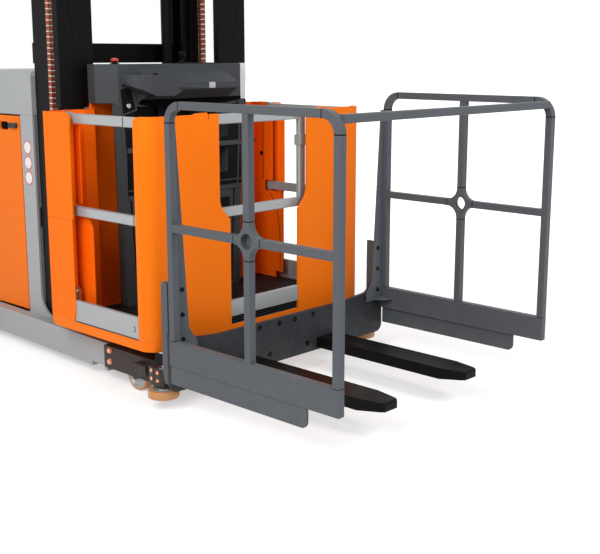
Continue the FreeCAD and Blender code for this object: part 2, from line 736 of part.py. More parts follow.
def gate_stops():
    """Rail stubs on the front posts that the side gates close against."""
    stubs = [tube_bar((end + 6.0, -gate_y, z), facet_x, "x", rail_w, rail_d, rail_bevel)
             for z, end in gate_ends.items()]
    feet = [block(cab_front_x - 93.0, facet_x - 14.0, -cab_half_width + panel_t, -gate_y,
                  z - 18.0, z + 18.0) for z in gate_ends]
    return both(fuse(stubs + feet))


def front_gate():
    """Front gate: a loop hinged on its upright at the far side."""
    end = -front_gap_upper - 30.0
    bars = [tube_bar((front_gate_x, end, z), front_hinge_y, "y", rail_w, rail_d, rail_bevel)
            for z in (rail_mid_z, rail_top_z)]
    upright = prism(bevelled(front_gate_x - rail_d / 2, front_gate_x + rail_d / 2,
                             front_hinge_y - rail_w / 2, front_hinge_y + rail_w / 2,
                             rail_bevel), "xy", gate_low, gate_high)
    bore = rod(hinge_pin_r + run_clear, gate_high - gate_low,
               (front_gate_x, front_hinge_y, gate_low), (0, 0, 1))
    latch = block(front_gate_x - 19.0, front_gate_x + 19.0, front_hinge_y - 30.0,
                  front_hinge_y + 28.0, 1177.0, 1233.0)
    return cut(fuse(bars + [upright, latch]), [bore])


console_top = cab_top + 230.0
bowl_x = cab_rear_x + panel_t + 190.0
bowl_y = -215.0
bowl_r = 75.0                # of the hollow in its top


def console():
    """Control desk on the rear wall: slanted cheeks, two recesses, desk and steering bowl."""
    x0 = cab_rear_x + panel_t
    foot, desk_z, face = cab_floor_top + mat_t, cab_top + 30.0, 166.0
    front = [(-405.0, foot), (-418.0, 680.0), (-465.0, desk_z + 1.0)]
    front += [(-y, z) for y, z in front[::-1]]
    cheeks = prism(front, "yz", x0, x0 + face)
    cheeks = cheeks.common(prism([(x0, -325.0), (x0 + face, -466.0), (x0 + face, 466.0),
                                  (x0, 325.0)], "xy", foot, desk_z + 1.0))
    well, recess_x = 330.0, x0 + 70.0
    recesses = [block(recess_x, x0 + face + 1.0, -well, well, z0, z1)
                for z0, z1 in ((990.0, 1144.0), (1190.0, desk_z - 20.0))]
    head = prism([(x0, -500.0), (x0 + 74.0, -508.0), (x0 + face, -430.0),
                  (x0 + face, 430.0), (x0 + 74.0, 508.0), (x0, 500.0)], "xy", desk_z,
                 console_top)
    desk = prism([(x0 + face - 1.0, desk_z), (x0 + 285.0, desk_z + 70.0),
                  (x0 + 285.0, desk_z + 105.0), (x0 + face - 1.0, console_top - 30.0)],
                 "xz", -300.0, 300.0)
    bowl_h, bowl_half, dish_h, rim_z = 110.0, 185.0, 42.0, desk_z + 145.0
    sides = [(bowl_y - bowl_half, rim_z), (bowl_y - bowl_half, rim_z - 55.0, 40.0),
             (bowl_y - 60.0, rim_z - bowl_h, 50.0), (bowl_y + 60.0, rim_z - bowl_h, 50.0),
             (bowl_y + bowl_half, rim_z - 55.0, 40.0), (bowl_y + bowl_half, rim_z)]
    bowl = prism(sides, "yz", bowl_x - 60.0, bowl_x + 98.0)
    bowl = bowl.common(prism([(bowl_x - 60.0, bowl_y - bowl_half),
                              (bowl_x + 98.0, bowl_y - bowl_half, 110.0),
                              (bowl_x + 98.0, bowl_y + bowl_half, 110.0),
                              (bowl_x - 60.0, bowl_y + bowl_half)], "xy",
                             rim_z - bowl_h - 1.0, rim_z + 1.0))
    dish = rod(bowl_r, dish_h, (bowl_x, bowl_y, rim_z - dish_h), (0, 0, 1))
    return cut(fuse([cut(cheeks, recesses), head, desk, bowl]), [dish])


guard_roof_z = 2400.0


def overhead_guard():
    """Two broad posts behind the rear wall and a barred roof frame."""
    roof_h, rim, bar_w = 50.0, 60.0, 16.0
    post_in, post_out, post_t, foot_z = -440.0, -650.0, 46.0, cab_top - 120.0
    post = prism([(post_out + 40.0, foot_z), (post_in - 70.0, foot_z),
                  (post_in - 70.0, cab_top + 8.0), (post_in, cab_top + 8.0, 60.0),
                  (post_in, guard_roof_z + 1.0), (post_out, guard_roof_z + 1.0),
                  (post_out, cab_top + 8.0), (post_out + 40.0, cab_top + 8.0)], "yz",
                 cab_rear_x - post_t, cab_rear_x)
    front, back, half = cab_front_x + 60.0, cab_rear_x - post_t, -post_out
    frame = prism([(back, -half, rim), (front, -half, rim), (front, half, rim),
                   (back, half, rim)], "xy", guard_roof_z, guard_roof_z + roof_h)
    frame = frame.cut(block(back + rim, front - rim, -half + rim, half - rim,
                            guard_roof_z - 1.0, guard_roof_z + roof_h + 1.0))
    bars = []
    count = 7
    for i in range(count):
        y = -half + rim + 2 * (half - rim) * (i + 1) / (count + 1)
        bars.append(block(back + rim - 1.0, front - rim + 1.0, y - bar_w / 2, y + bar_w / 2,
                          guard_roof_z + 10.0, guard_roof_z + 45.0))
    return fuse([post, other_side(post), frame] + bars)


# ------------------------------------------------------------ fork carriage, guards
def fork_carriage():
    """Wide plate under the cab that carries the forks, on two beams below the floor."""
    x1 = face_x - 10.0
    x0 = x1 - plate_t
    rise_in, rise_out = plate_half - 312.0, plate_half - 122.0
    side = [(rise_in, plate_top, 200.0), (rise_out, plate_top + 16.0, 60.0),
            (plate_half - 96.0, plate_top + 60.0), (plate_half, plate_top + 60.0),
            (plate_half, plate_bottom, 45.0)]
    ends = side + [(-y, *rest) for y, *rest in side[::-1]]
    plate = prism(ends, "yz", x0, x1)
    beam_y, beam_w = 480.0, 80.0
    beams = [block(cab_rear_x + 120.0, x0, s * beam_y - beam_w / 2, s * beam_y + beam_w / 2,
                   cab_floor_bottom - 62.0, cab_floor_bottom) for s in (-1, 1)]
    return fuse([plate] + beams)


def side_bracket():
    """Near-side upright plates that join the fork carriage to a guard frame."""
    web_x = face_x - 2.0
    bar_y, bar_rear, bar_w = -plate_half + 24.0, face_x - 95.5, 44.0
    bar_bottom, side_top, plate_x = roller_bottom + 75.0, 625.0, face_x - 10.0 - plate_t
    over = plate_top + 60.0
    bar = prism([(bar_rear + 14.0, bar_bottom), (bar_rear + bar_w + 10.0, bar_bottom),
                 (bar_rear + bar_w, bar_bottom + 40.0), (bar_rear + bar_w, side_top, 20.0),
                 (bar_rear, side_top, 20.0), (bar_rear, bar_bottom + 60.0)], "xz", bar_y,
                bar_y + bracket_t)
    link = prism([(bar_rear + 10.0, plate_bottom + 110.0), (plate_x, plate_bottom + 110.0),
                  (plate_x, over), (web_x, over), (web_x, side_top), (bar_rear + 10.0, side_top)],
                 "xz", bar_y + bracket_t, bar_y + 2 * bracket_t)
    side = fuse([bar, link])
    back = block(face_x - 10.0, web_x, -plate_half, -plate_half + 82.0, over, side_top)
    outer = -half_width + tube
    web_top = guard_top - 97.0
    inner_top, inner_mid = -half_width + 58.0, -half_width + 102.0
    web = prism([(outer, web_top), (inner_top, web_top), (inner_mid, side_top - 37.0),
                 (inner_mid + 12.0, plate_top + 75.0), (inner_mid + 60.0, plate_top + 2.0),
                 (inner_mid + 60.0, plate_top - 36.0),
                 (outer, plate_top - 36.0)], "yz", web_x, web_x + 10.0)
    shelf_r, shelf_t = 74.0, 8.0
    shelf = prism([(web_x + 10.0, outer), (web_x + 10.0 + shelf_r, outer),
                   (web_x + 10.0 + shelf_r, outer + shelf_r, shelf_r - 1.0),
                   (web_x + 10.0, outer + shelf_r)], "xy", plate_top - 29.0,
                  plate_top - 29.0 + shelf_t)
    return fuse([side, back, web, shelf])


def guard_hoop():
    """Near-side hoop of square tube with bent corners."""
    x0, x1 = face_x, face_x + guard_length
    y0 = -half_width
    inner_r = guard_bend - tube
    frame = [(x0, toe_top), (x0, guard_top, guard_bend), (x1, guard_top, guard_bend),
             (x1, toe_top), (x1 - tube, toe_top), (x1 - tube, guard_top - tube, inner_r),
             (x0 + tube, guard_top - tube, inner_r), (x0 + tube, toe_top)]
    return prism(frame, "xz", y0, y0 + tube)


def guard_cross():
    """Upright and rail that meet in a pierced hub with hollow curves between its arms."""
    x, z, half, y0 = face_x + cross_x, cross_z, tube / 2, -half_width
    reach = half + hub_web_r
    upright = block(x - half, x + half, y0, y0 + tube, toe_top, guard_top - tube)
    rail = block(face_x + tube, face_x + guard_length - tube, y0, y0 + tube, z - half, z + half)
    hub = block(x - reach, x + reach, y0, y0 + tube, z - reach, z + reach)
    hollows = [rod(hub_web_r, tube, (x + sx * reach, y0, z + sz * reach), (0, 1, 0))
               for sx in (-1, 1) for sz in (-1, 1)]
    hole = rod(hub_hole_r, tube, (x, y0, z), (0, 1, 0))
    return cut(fuse([cut(hub, hollows), upright, rail]), [hole])


def toe_plate():
    """Kerb of closed box section under a hoop, with a skirt below it."""
    x0, x1, y0 = face_x, face_x + guard_length, -half_width
    kerb = block(x0, x1, y0, y0 + tube, toe_bottom, toe_top)
    y1 = y0 + skirt_inset
    skirt = prism([(x0, skirt_bottom), (x0 + skirt_length, skirt_bottom, 30.0),
                   (x0 + skirt_length, toe_bottom), (x0, toe_bottom)], "xz", y1, y1 + skirt_t)
    return fuse([kerb, skirt])


def guard_tie():
    """Bar across the front of the two hoops."""
    x = face_x + guard_length - 8.0 - tube / 2
    end = half_width - tube
    return tube_bar((x, -end, tie_top - tube / 2), end, "y", tube, tube, 4.0)


def fork(side):
    """A flat fork with a separate-looking tapered cap at its tip."""
    x0 = face_x - 10.0
    y0, y1 = side * fork_y - fork_w / 2, side * fork_y + fork_w / 2
    tip = x0 + fork_length
    z0, z1 = fork_bottom, fork_bottom + fork_t
    arm = prism([(x0, z0), (tip - fork_cap, z0), (tip, z0 + 14.0), (tip, z1, 12.0),
                 (x0, z1)], "xz", y0, y1)
    plan = [(x0 - 1.0, y0), (tip - fork_cap, y0), (tip - 22.0, y0 + 25.0), (tip, y0 + 36.0),
            (tip, y1 - 36.0), (tip - 22.0, y1 - 25.0), (tip - fork_cap, y1), (x0 - 1.0, y1)]
    return arm.common(prism(plan, "xy", z0 - 1.0, z1 + 1.0))


# -------------------------------------------------------------------------- nodes
near_and_far = {
    "battery_door": battery_door,
    "load_wheel": load_wheel,
    "guide_roller_front": lambda: guide_roller(roller_front_x),
    "guide_roller_rear": lambda: guide_roller(roller_rear_x),
    "side_gate": side_gate,
    "front_panel": front_panel,
    "guard_hoop": guard_hoop,
    "guard_cross": guard_cross,
}

nodes = {
    "chassis_frame": chassis_frame(),
    "battery_block": battery_block(),
    "rear_hood": rear_hood(),
    "top_cover": top_cover(),
    "load_arms": both(load_arm()),
    "drive_turret": drive_turret(),
    "drive_wheel": drive_wheel(),
    "outer_mast": outer_mast(),
    "inner_mast": inner_mast(),
    "lift_cylinders": lift_cylinders(),
    "lift_rods": lift_rods(),
    "leaf_chains": both(leaf_chain()),
    "carriage": carriage(),
    "cab_floor": cab_floor(),
    "floor_mat": floor_mat(),
    "rear_wall": rear_wall(),
    "rear_posts": both(rear_post()),
    "kick_plates": kick_plates(),
    "gate_hinges": gate_hinges(),
    "gate_stops": gate_stops(),
    "front_gate": front_gate(),
    "console": console(),
    "overhead_guard": overhead_guard(),
    "fork_carriage": fork_carriage(),
    "side_brackets": both(side_bracket()),
    "toe_plates": both(toe_plate()),
    "guard_tie": guard_tie(),
    "fork_right": fork(-1),
    "fork_left": fork(1),
}
for name, make in near_and_far.items():
    near = make()
    nodes[name + "_right"] = near
    nodes[name + "_left"] = other_side(near)

os.makedirs("parts", exist_ok=True)
for name, shape in nodes.items():
    shape.exportStep("parts/" + name + ".step")
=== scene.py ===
import bmesh
import bpy
import json
from math import cos, pi, radians, sin, tan
from mathutils import Matrix, Vector


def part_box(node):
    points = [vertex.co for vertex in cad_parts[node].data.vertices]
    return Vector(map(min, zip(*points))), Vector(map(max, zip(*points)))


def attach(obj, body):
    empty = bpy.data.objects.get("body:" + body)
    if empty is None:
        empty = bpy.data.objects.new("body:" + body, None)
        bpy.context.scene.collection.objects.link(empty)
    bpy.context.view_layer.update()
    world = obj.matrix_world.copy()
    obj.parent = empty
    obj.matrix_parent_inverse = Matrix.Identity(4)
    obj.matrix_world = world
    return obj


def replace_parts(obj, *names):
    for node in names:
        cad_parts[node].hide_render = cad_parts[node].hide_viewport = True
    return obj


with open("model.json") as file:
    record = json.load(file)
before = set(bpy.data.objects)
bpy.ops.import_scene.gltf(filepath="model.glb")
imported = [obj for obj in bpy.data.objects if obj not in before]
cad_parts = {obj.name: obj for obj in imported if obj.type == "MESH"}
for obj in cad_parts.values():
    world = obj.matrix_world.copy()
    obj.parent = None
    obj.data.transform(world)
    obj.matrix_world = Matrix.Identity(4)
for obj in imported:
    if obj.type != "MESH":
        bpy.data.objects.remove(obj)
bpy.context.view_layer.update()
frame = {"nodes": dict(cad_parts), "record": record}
nodes = frame["nodes"]

# Lengths are in metres. The truck is symmetric about Y = 0; "right" is the -Y side.
SIDES = {"right": -1, "left": 1}
BOX = {name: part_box(name) for name in nodes}


# ---- shader wiring ----
class Wires:
    """Adds nodes to one tree. A value is a number, a colour or an output socket."""

    def __init__(self, tree):
        self.tree = tree

    def add(self, kind, **settings):
        made = self.tree.nodes.new(kind)
        for key, value in settings.items():
            setattr(made, key, value)
        return made

    def put(self, value, socket):
        if isinstance(value, bpy.types.NodeSocket):
            self.tree.links.new(value, socket)
        else:
            socket.default_value = value

    def feed(self, made, **values):
        """Fills a node's inputs by name; an underscore stands for a space."""
        for name, value in values.items():
            self.put(value, made.inputs[name.replace("_", " ")])
        return made

    def use(self, group, **values):
        """Places a shared group with its own values and gives its outputs."""
        return self.feed(self.add("ShaderNodeGroup", node_tree=group), **values).outputs

    def maths(self, operation, *values, clamp=False):
        made = self.add("ShaderNodeMath", operation=operation, use_clamp=clamp)
        for value, socket in zip(values, made.inputs):
            self.put(value, socket)
        return made.outputs[0]

    def vectors(self, operation, first, second=None):
        made = self.add("ShaderNodeVectorMath", operation=operation)
        self.put(first, made.inputs[0])
        if second is not None:
            self.put(second, made.inputs["Scale" if operation == "SCALE" else 1])
        number = operation in ("DOT_PRODUCT", "LENGTH")
        return made.outputs["Value" if number else "Vector"]

    def split(self, vector):
        made = self.add("ShaderNodeSeparateXYZ")
        self.put(vector, made.inputs[0])
        return made.outputs

    def ramp(self, value, low, high):
        """0 below low, 1 above high, smooth between; low above high turns it round."""
        made = self.add("ShaderNodeMapRange", interpolation_type="SMOOTHSTEP")
        start, end = (0.0, 1.0) if low < high else (1.0, 0.0)
        self.feed(made, From_Min=min(low, high), From_Max=max(low, high), To_Min=start,
                  To_Max=end, Value=value)
        return made.outputs["Result"]

    def place(self):
        """Object coordinates."""
        return self.add("ShaderNodeTexCoord").outputs["Object"]

    def noise(self, vector, scale, detail, roughness=0.5):
        made = self.feed(self.add("ShaderNodeTexNoise"), Vector=vector, Scale=scale,
                         Detail=detail, Roughness=roughness)
        return made.outputs["Fac"]

    def blend(self, mask, first, second):
        """Mixes a first colour to a second one by a mask."""
        made = self.add("ShaderNodeMix", data_type="RGBA")
        sockets = {s.identifier: s for s in made.inputs}
        for name, value in (("Factor_Float", mask), ("A_Color", first), ("B_Color", second)):
            self.put(value, sockets[name])
        return {s.identifier: s for s in made.outputs}["Result_Color"]

    def bump(self, height, depth, strength=0.6):
        made = self.add("ShaderNodeBump")
        self.feed(made, Distance=depth, Strength=strength, Height=height)
        return made.outputs["Normal"]

    def seen(self):
        """1 where a ray comes from the camera, a reflection or a clear body."""
        rays = self.add("ShaderNodeLightPath").outputs
        return self.maths("MAXIMUM", rays["Is Camera Ray"],
                          self.maths("MAXIMUM", rays["Is Glossy Ray"],
                                     rays["Is Transmission Ray"]))


# ---- shader groups ----
SOCKET_KINDS = {1: "NodeSocketFloat", 3: "NodeSocketVector", 4: "NodeSocketColor"}


def new_group(name, inputs, *outputs):
    """An empty shader group: its wires, what it is given, and the node that it fills."""
    tree = bpy.data.node_groups.new(name, "ShaderNodeTree")
    for label, value in inputs.items():
        kind = SOCKET_KINDS[len(value) if isinstance(value, tuple) else 1]
        socket = tree.interface.new_socket(name=label, in_out="INPUT", socket_type=kind)
        socket.default_value = value
    for label in outputs:
        kind = SOCKET_KINDS[4 if label == "Colour" else 1]
        tree.interface.new_socket(name=label, in_out="OUTPUT", socket_type=kind)
    wires = Wires(tree)
    return wires, wires.add("NodeGroupInput").outputs, wires.add("NodeGroupOutput")


def coat_group():
    """Sprayed or powder coat: fine peel, soft mottling of the colour and of the gloss."""
    g, given, out = new_group(
        "powder_coat", {"Colour": (1, 1, 1, 1), "Peel Scale": 700.0, "Mottle": 0.05,
                        "Roughness": 0.4, "Gloss Change": 0.1},
        "Colour", "Roughness", "Height")
    here = g.place()
    peel = g.noise(here, given["Peel Scale"], detail=1.0)
    wave = g.noise(here, 60.0, detail=1.0)
    cloud = g.maths("SUBTRACT", g.noise(here, 3.5, detail=4.0), 0.5)
    smear = g.maths("SUBTRACT", g.noise(here, 14.0, detail=3.0), 0.5)
    g.feed(out, Height=g.maths("MULTIPLY_ADD", wave, 0.6, peel),
           Colour=g.vectors("SCALE", given["Colour"],
                            g.maths("MULTIPLY_ADD", cloud, given["Mottle"], 1.0)),
           Roughness=g.maths("MULTIPLY_ADD", smear, given["Gloss Change"],
                             given["Roughness"]))
    return g.tree


def wear_and_highlight_group():
    """Mask of rubbed edges and of a painted highlight along them: where a rounded normal leaves
    the true one, broken by noise.
    """
    g, given, out = new_group("edge_wear_and_highlight", {"Width": 0.003, "Amount": 0.5}, "Mask")
    soft = g.feed(g.add("ShaderNodeBevel", samples=4), Radius=given["Width"])
    facing = g.vectors("DOT_PRODUCT", soft.outputs["Normal"],
                       g.add("ShaderNodeNewGeometry").outputs["Normal"])
    patch = g.ramp(g.noise(g.place(), 22.0, detail=5.0, roughness=0.7), 0.40, 0.72)
    rub_and_highlight = g.maths("MULTIPLY", g.ramp(facing, 0.985, 0.80), patch)
    g.feed(out, Mask=g.maths("MULTIPLY", rub_and_highlight, given["Amount"], clamp=True))
    return g.tree


def scratch_group():
    """Mask of fine scuffs that run along one direction, and their height."""
    g, given, out = new_group(
        "scuffs", {"Stretch": (1.0, 12.0, 12.0), "Scale": 12.0, "Amount": 0.5},
        "Mask", "Height")
    here = g.place()
    pulled = g.vectors("MULTIPLY", here, given["Stretch"])
    streak = g.noise(pulled, given["Scale"], detail=6.0, roughness=0.65)
    where = g.ramp(g.noise(here, 5.0, detail=3.0), 0.42, 0.62)
    mask = g.maths("MULTIPLY", g.ramp(streak, 0.56, 0.66), where)
    g.feed(out, Mask=g.maths("MULTIPLY", mask, given["Amount"], clamp=True),
           Height=g.maths("MULTIPLY", streak, -1.0))
    return g.tree


def dust_group():
    """Mask of the light dust that lies on upward faces and gathers near the floor."""
    g, given, out = new_group("settled_dust", {"Low": 0.0, "Fade": 0.5, "Amount": 0.2},
                              "Mask")
    normal = g.split(g.add("ShaderNodeNewGeometry").outputs["Normal"])
    up = g.maths("MAXIMUM", normal["Z"], 0.0)
    rise = g.maths("SUBTRACT", g.split(g.place())["Z"], given["Low"])
    faded = g.maths("DIVIDE", rise, given["Fade"], clamp=True)
    both = g.maths("MULTIPLY_ADD", up, 0.5, g.maths("SUBTRACT", 1.0, faded, clamp=True))
    cloud = g.ramp(g.noise(g.place(), 9.0, detail=6.0, roughness=0.7), 0.35, 0.75)
    g.feed(out, Mask=g.maths("MULTIPLY", g.maths("MULTIPLY", both, cloud),
                             given["Amount"], clamp=True))
    return g.tree


def grain_group():
    """Leather-like grain of moulded plastic, as height and as a change of gloss."""
    g, given, out = new_group("moulded_grain", {"Scale": 900.0}, "Height", "Gloss")
    cells = g.feed(g.add("ShaderNodeTexVoronoi", feature="SMOOTH_F1"), Vector=g.place(),
                   Scale=given["Scale"], Smoothness=0.6)
    g.feed(out, Height=cells.outputs["Distance"], Gloss=g.noise(g.place(), 40.0, detail=3.0))
    return g.tree


def ground_group():
    """Fine grinding lines along one axis."""
    g, given, out = new_group("ground_metal", {"Stretch": (1.0, 1.0, 60.0), "Scale": 40.0},
                              "Height", "Value")
    here = g.place()
    pulled = g.vectors("MULTIPLY", here, given["Stretch"])
    g.feed(out, Height=g.noise(pulled, given["Scale"], detail=4.0),
           Value=g.noise(here, 18.0, detail=3.0))
    return g.tree


def chain_group():
    """Leaf chain along Z: stacked link plates, their waists, and the row of pins."""
    g, given, out = new_group("leaf_links", {"Pitch": 0.029}, "Plate", "Pin", "Height")
    here = g.split(g.place())
    along = g.maths("DIVIDE", here["Z"], given["Pitch"])
    wave = g.maths("ABSOLUTE", g.maths("SINE", g.maths("MULTIPLY", along, pi)))
    sheet = 0.0026
    gap = g.ramp(g.maths("PINGPONG", here["Y"], sheet), 0.0002, 0.0007)
    g.feed(out, Plate=g.maths("MULTIPLY", gap, g.ramp(wave, 0.12, 0.4)),
           Pin=g.ramp(wave, 0.34, 0.2), Height=g.maths("MULTIPLY_ADD", gap, 0.5, wave))
    return g.tree


def tread_group():
    """Raised studs in staggered rows, for the floor mat."""
    g, given, out = new_group("studs", {"Pitch": 0.022}, "Height", "Mask")
    here = g.split(g.place())
    squares = []
    for way in ("ADD", "SUBTRACT"):
        row = g.maths("DIVIDE", g.maths(way, here["X"], here["Y"]), given["Pitch"])
        squares.append(g.maths("POWER", g.maths("PINGPONG", row, 0.5), 2.0))
    stud = g.ramp(g.maths("SQRT", g.maths("ADD", *squares)), 0.26, 0.18)
    g.feed(out, Height=stud, Mask=stud)
    return g.tree


COAT, WEAR_AND_HIGHLIGHT, SCUFFS, DUST = coat_group(), wear_and_highlight_group(), scratch_group(), dust_group()
GRAIN, GROUND, LINKS, STUDS = grain_group(), ground_group(), chain_group(), tread_group()


# ---- materials ----
PEEL_DEPTH = 0.00005
GRAIN_DEPTH = 0.00012
EVEN = (1.0, 1.0, 1.0)
DUST_TONE = "A39D95"
FINISH = {}


def linear(hex_colour):
    """A written colour, as RRGGBB, in the linear values that sockets take."""
    parts = [int(hex_colour[i:i + 2], 16) / 255 for i in (0, 2, 4)]
    return tuple(c / 12.92 if c <= 0.04045 else ((c + 0.055) / 1.055) ** 2.4
                 for c in parts) + (1.0,)


def shader(name):
    """Adds a finish; gives the wires of its tree and its surface node."""
    made = FINISH[name] = bpy.data.materials.new(name)
    made.use_nodes = True
    return Wires(made.node_tree), made.node_tree.nodes["Principled BSDF"]


def painted(name, colour, roughness, edge_tone, peel=700.0, mottle=0.06, metallic=0.0,
            specular=0.5, dust=0.12, low=0.0):
    """Painted steel: peel and mottling, edges paler from rubbing and from a painted highlight,
    a little dust.
    """
    g, surface = shader(name)
    paint = g.use(COAT, Colour=linear(colour), Peel_Scale=peel, Mottle=mottle,
                  Roughness=roughness)
    rub_and_highlight = g.use(WEAR_AND_HIGHLIGHT, Width=0.0025, Amount=0.35)["Mask"]
    dirt = g.use(DUST, Low=low, Fade=0.45, Amount=dust)["Mask"]
    tone = g.blend(rub_and_highlight, paint["Colour"], linear(edge_tone))
    g.feed(surface, Base_Color=g.blend(dirt, tone, linear(DUST_TONE)),
           Roughness=g.maths("MULTIPLY_ADD", dirt, 0.4, paint["Roughness"]),
           Normal=g.bump(paint["Height"], PEEL_DEPTH), Metallic=metallic,
           Specular_IOR_Level=specular)


def moulded(name, colour, roughness, scale=900.0, depth=GRAIN_DEPTH, edge_tone="6A6D70",
            edge_amount=0.2, specular=0.5):
    """Grained plastic or rubber, its edges paler from rubbing and from a painted highlight."""
    g, surface = shader(name)
    grain = g.use(GRAIN, Scale=scale)
    paint = g.use(COAT, Colour=linear(colour), Mottle=0.08, Roughness=roughness)
    rub_and_highlight = g.use(WEAR_AND_HIGHLIGHT, Width=0.002, Amount=edge_amount)["Mask"]
    g.feed(surface, Base_Color=g.blend(rub_and_highlight, paint["Colour"], linear(edge_tone)),
           Roughness=g.maths("MULTIPLY_ADD", grain["Gloss"], 0.12, paint["Roughness"]),
           Normal=g.bump(grain["Height"], depth), Specular_IOR_Level=specular)


def metal(name, colour, roughness, stretch=(1.0, 1.0, 60.0), scale=40.0):
    """Bare, ground or plated metal."""
    g, surface = shader(name)
    lines = g.use(GROUND, Stretch=stretch, Scale=scale)
    shade = g.maths("MULTIPLY_ADD", lines["Value"], 0.16, 0.92)
    g.feed(surface, Base_Color=g.vectors("SCALE", linear(colour)[:3], shade),
           Roughness=g.maths("MULTIPLY_ADD", lines["Value"], 0.15, roughness - 0.07),
           Normal=g.bump(lines["Height"], 0.00003), Metallic=1.0)


def tyre_material(name):
    """Cast polyurethane: even, slightly waxy, with faint rolling marks and dust."""
    g, surface = shader(name)
    paint = g.use(COAT, Colour=linear("C88C56"), Peel_Scale=260.0, Mottle=0.12,
                  Roughness=0.42)
    marks = g.use(SCUFFS, Stretch=(3.0, 3.0, 3.0), Scale=30.0, Amount=0.35)["Mask"]
    dirt = g.use(DUST, Low=0.0, Fade=0.2, Amount=0.25)["Mask"]
    tone = g.blend(marks, paint["Colour"], linear("8A6038"))
    g.feed(surface, Base_Color=g.blend(dirt, tone, linear("9C8F80")),
           Roughness=paint["Roughness"], Normal=g.bump(paint["Height"], 0.00008),
           Subsurface_Weight=0.08, Subsurface_Scale=0.004)


def fork_material(name):
    """Satin black of forks and mast, scuffed a little paler along their length."""
    g, surface = shader(name)
    paint = g.use(COAT, Colour=linear("0F0E0E"), Peel_Scale=500.0, Mottle=0.12,
                  Roughness=0.36)
    marks = g.use(SCUFFS, Stretch=(1.0, 14.0, 1.0), Scale=14.0, Amount=0.18)["Mask"]
    # Paler edges: rubbed paint and a painted highlight.
    rub_and_highlight = g.use(WEAR_AND_HIGHLIGHT, Width=0.003, Amount=0.35)["Mask"]
    tone = g.blend(marks, paint["Colour"], linear("2B2826"))
    g.feed(surface, Base_Color=g.blend(rub_and_highlight, tone, linear("55514E")),
           Roughness=g.maths("MULTIPLY_ADD", marks, 0.25, paint["Roughness"]),
           Normal=g.bump(paint["Height"], PEEL_DEPTH), Specular_IOR_Level=0.07)


def chain_material(name):
    """Oiled copper-brown link plates with bright pins."""
    g, surface = shader(name)
    links = g.use(LINKS, Pitch=0.029)
    lines = g.use(GROUND, Stretch=EVEN, Scale=300.0)
    # The dark colour between the stacked plates and round the pins is painted shade.
    brown = g.blend(links["Plate"], linear("2B0F07"), linear("93482A"))
    g.feed(surface, Base_Color=g.blend(links["Pin"], brown, linear("D8CFC8")),
           Metallic=g.maths("MULTIPLY_ADD", links["Pin"], 0.4, 0.55, clamp=True),
           Roughness=g.maths("MULTIPLY_ADD", lines["Value"], 0.2, 0.25),
           Normal=g.bump(links["Height"], 0.003, strength=0.9))


def mat_material(name):
    """Black rubber mat with studs."""
    g, surface = shader(name)
    studs = g.use(STUDS, Pitch=0.022)
    grain = g.use(GRAIN, Scale=1500.0)
    dirt = g.use(DUST, Low=0.3, Fade=0.1, Amount=0.10)["Mask"]
    tone = g.blend(studs["Mask"], linear("141212"), linear("1F1D1C"))
    height = g.maths("MULTIPLY_ADD", grain["Height"], 0.06, studs["Height"])
    g.feed(surface, Base_Color=g.blend(dirt, tone, linear("5A5048")),
           Roughness=g.maths("MULTIPLY_ADD", grain["Gloss"], 0.2, 0.5),
           Normal=g.bump(height, 0.0016, strength=0.9), Specular_IOR_Level=0.15)


# The record's slots come first, then finishes of small pieces and of single nodes; those of
# single nodes are lighter or darker copies that paint light and shade.
painted("orange_paint", "FC7A10", 0.36, "FFA765", mottle=0.05, specular=0.09)
painted("chassis_grey", "A9ACAE", 0.42, "D6D8D9", dust=0.2, specular=0.3)
painted("silver_paint", "A8ABAD", 0.34, "DADCDD", metallic=0.2, peel=900.0, specular=0.3)
painted("guard_grey", "575B60", 0.40, "83878B", peel=900.0, specular=0.12)
fork_material("mast_black")
moulded("console_grey", "414447", 0.42, specular=0.16)
mat_material("mat_black")
tyre_material("wheel_tan")
metal("rod_steel", "D4D6D8", 0.16, stretch=(1.0, 1.0, 8.0), scale=120.0)
metal("bright_steel", "B9BCBE", 0.30)
chain_material("chain_copper")
moulded("battery_grey", "3B3D3F", 0.5, scale=500.0)
moulded("motor_black", "2A2B2C", 0.5, scale=240.0, depth=0.0004)
metal("copper_bolt", "F0A888", 0.28, stretch=EVEN, scale=160.0)
metal("black_bolt", "26262A", 0.34, stretch=EVEN, scale=200.0)
moulded("white_sheet", "ECECEA", 0.35, depth=0.00002, edge_tone="FFFFFF")
moulded("red_ring", "D2463E", 0.35, depth=0.00002, edge_tone="E08070")
painted("hub_grey", "A9ACAD", 0.36, "C8CACB", metallic=0.35)
moulded("soft_black", "0B0B0C", 0.45, scale=1200.0, edge_tone="2A2B2C", specular=0.08)
moulded("seam_shadow", "33363A", 0.7, edge_tone="44484C", edge_amount=0.1)
# Near-black used as painted shade in narrow hollows: the latch slot, the screw sockets, and the
# grooves and gap under the sill.
moulded("hollow_shade_black", "08080A", 0.8, edge_tone="18181A", edge_amount=0.1, specular=0.05)
moulded("red_cap", "C62A20", 0.32, depth=0.00005, edge_tone="E0584C")
moulded("screen", "101416", 0.12, depth=0.00001, edge_tone="22282B")
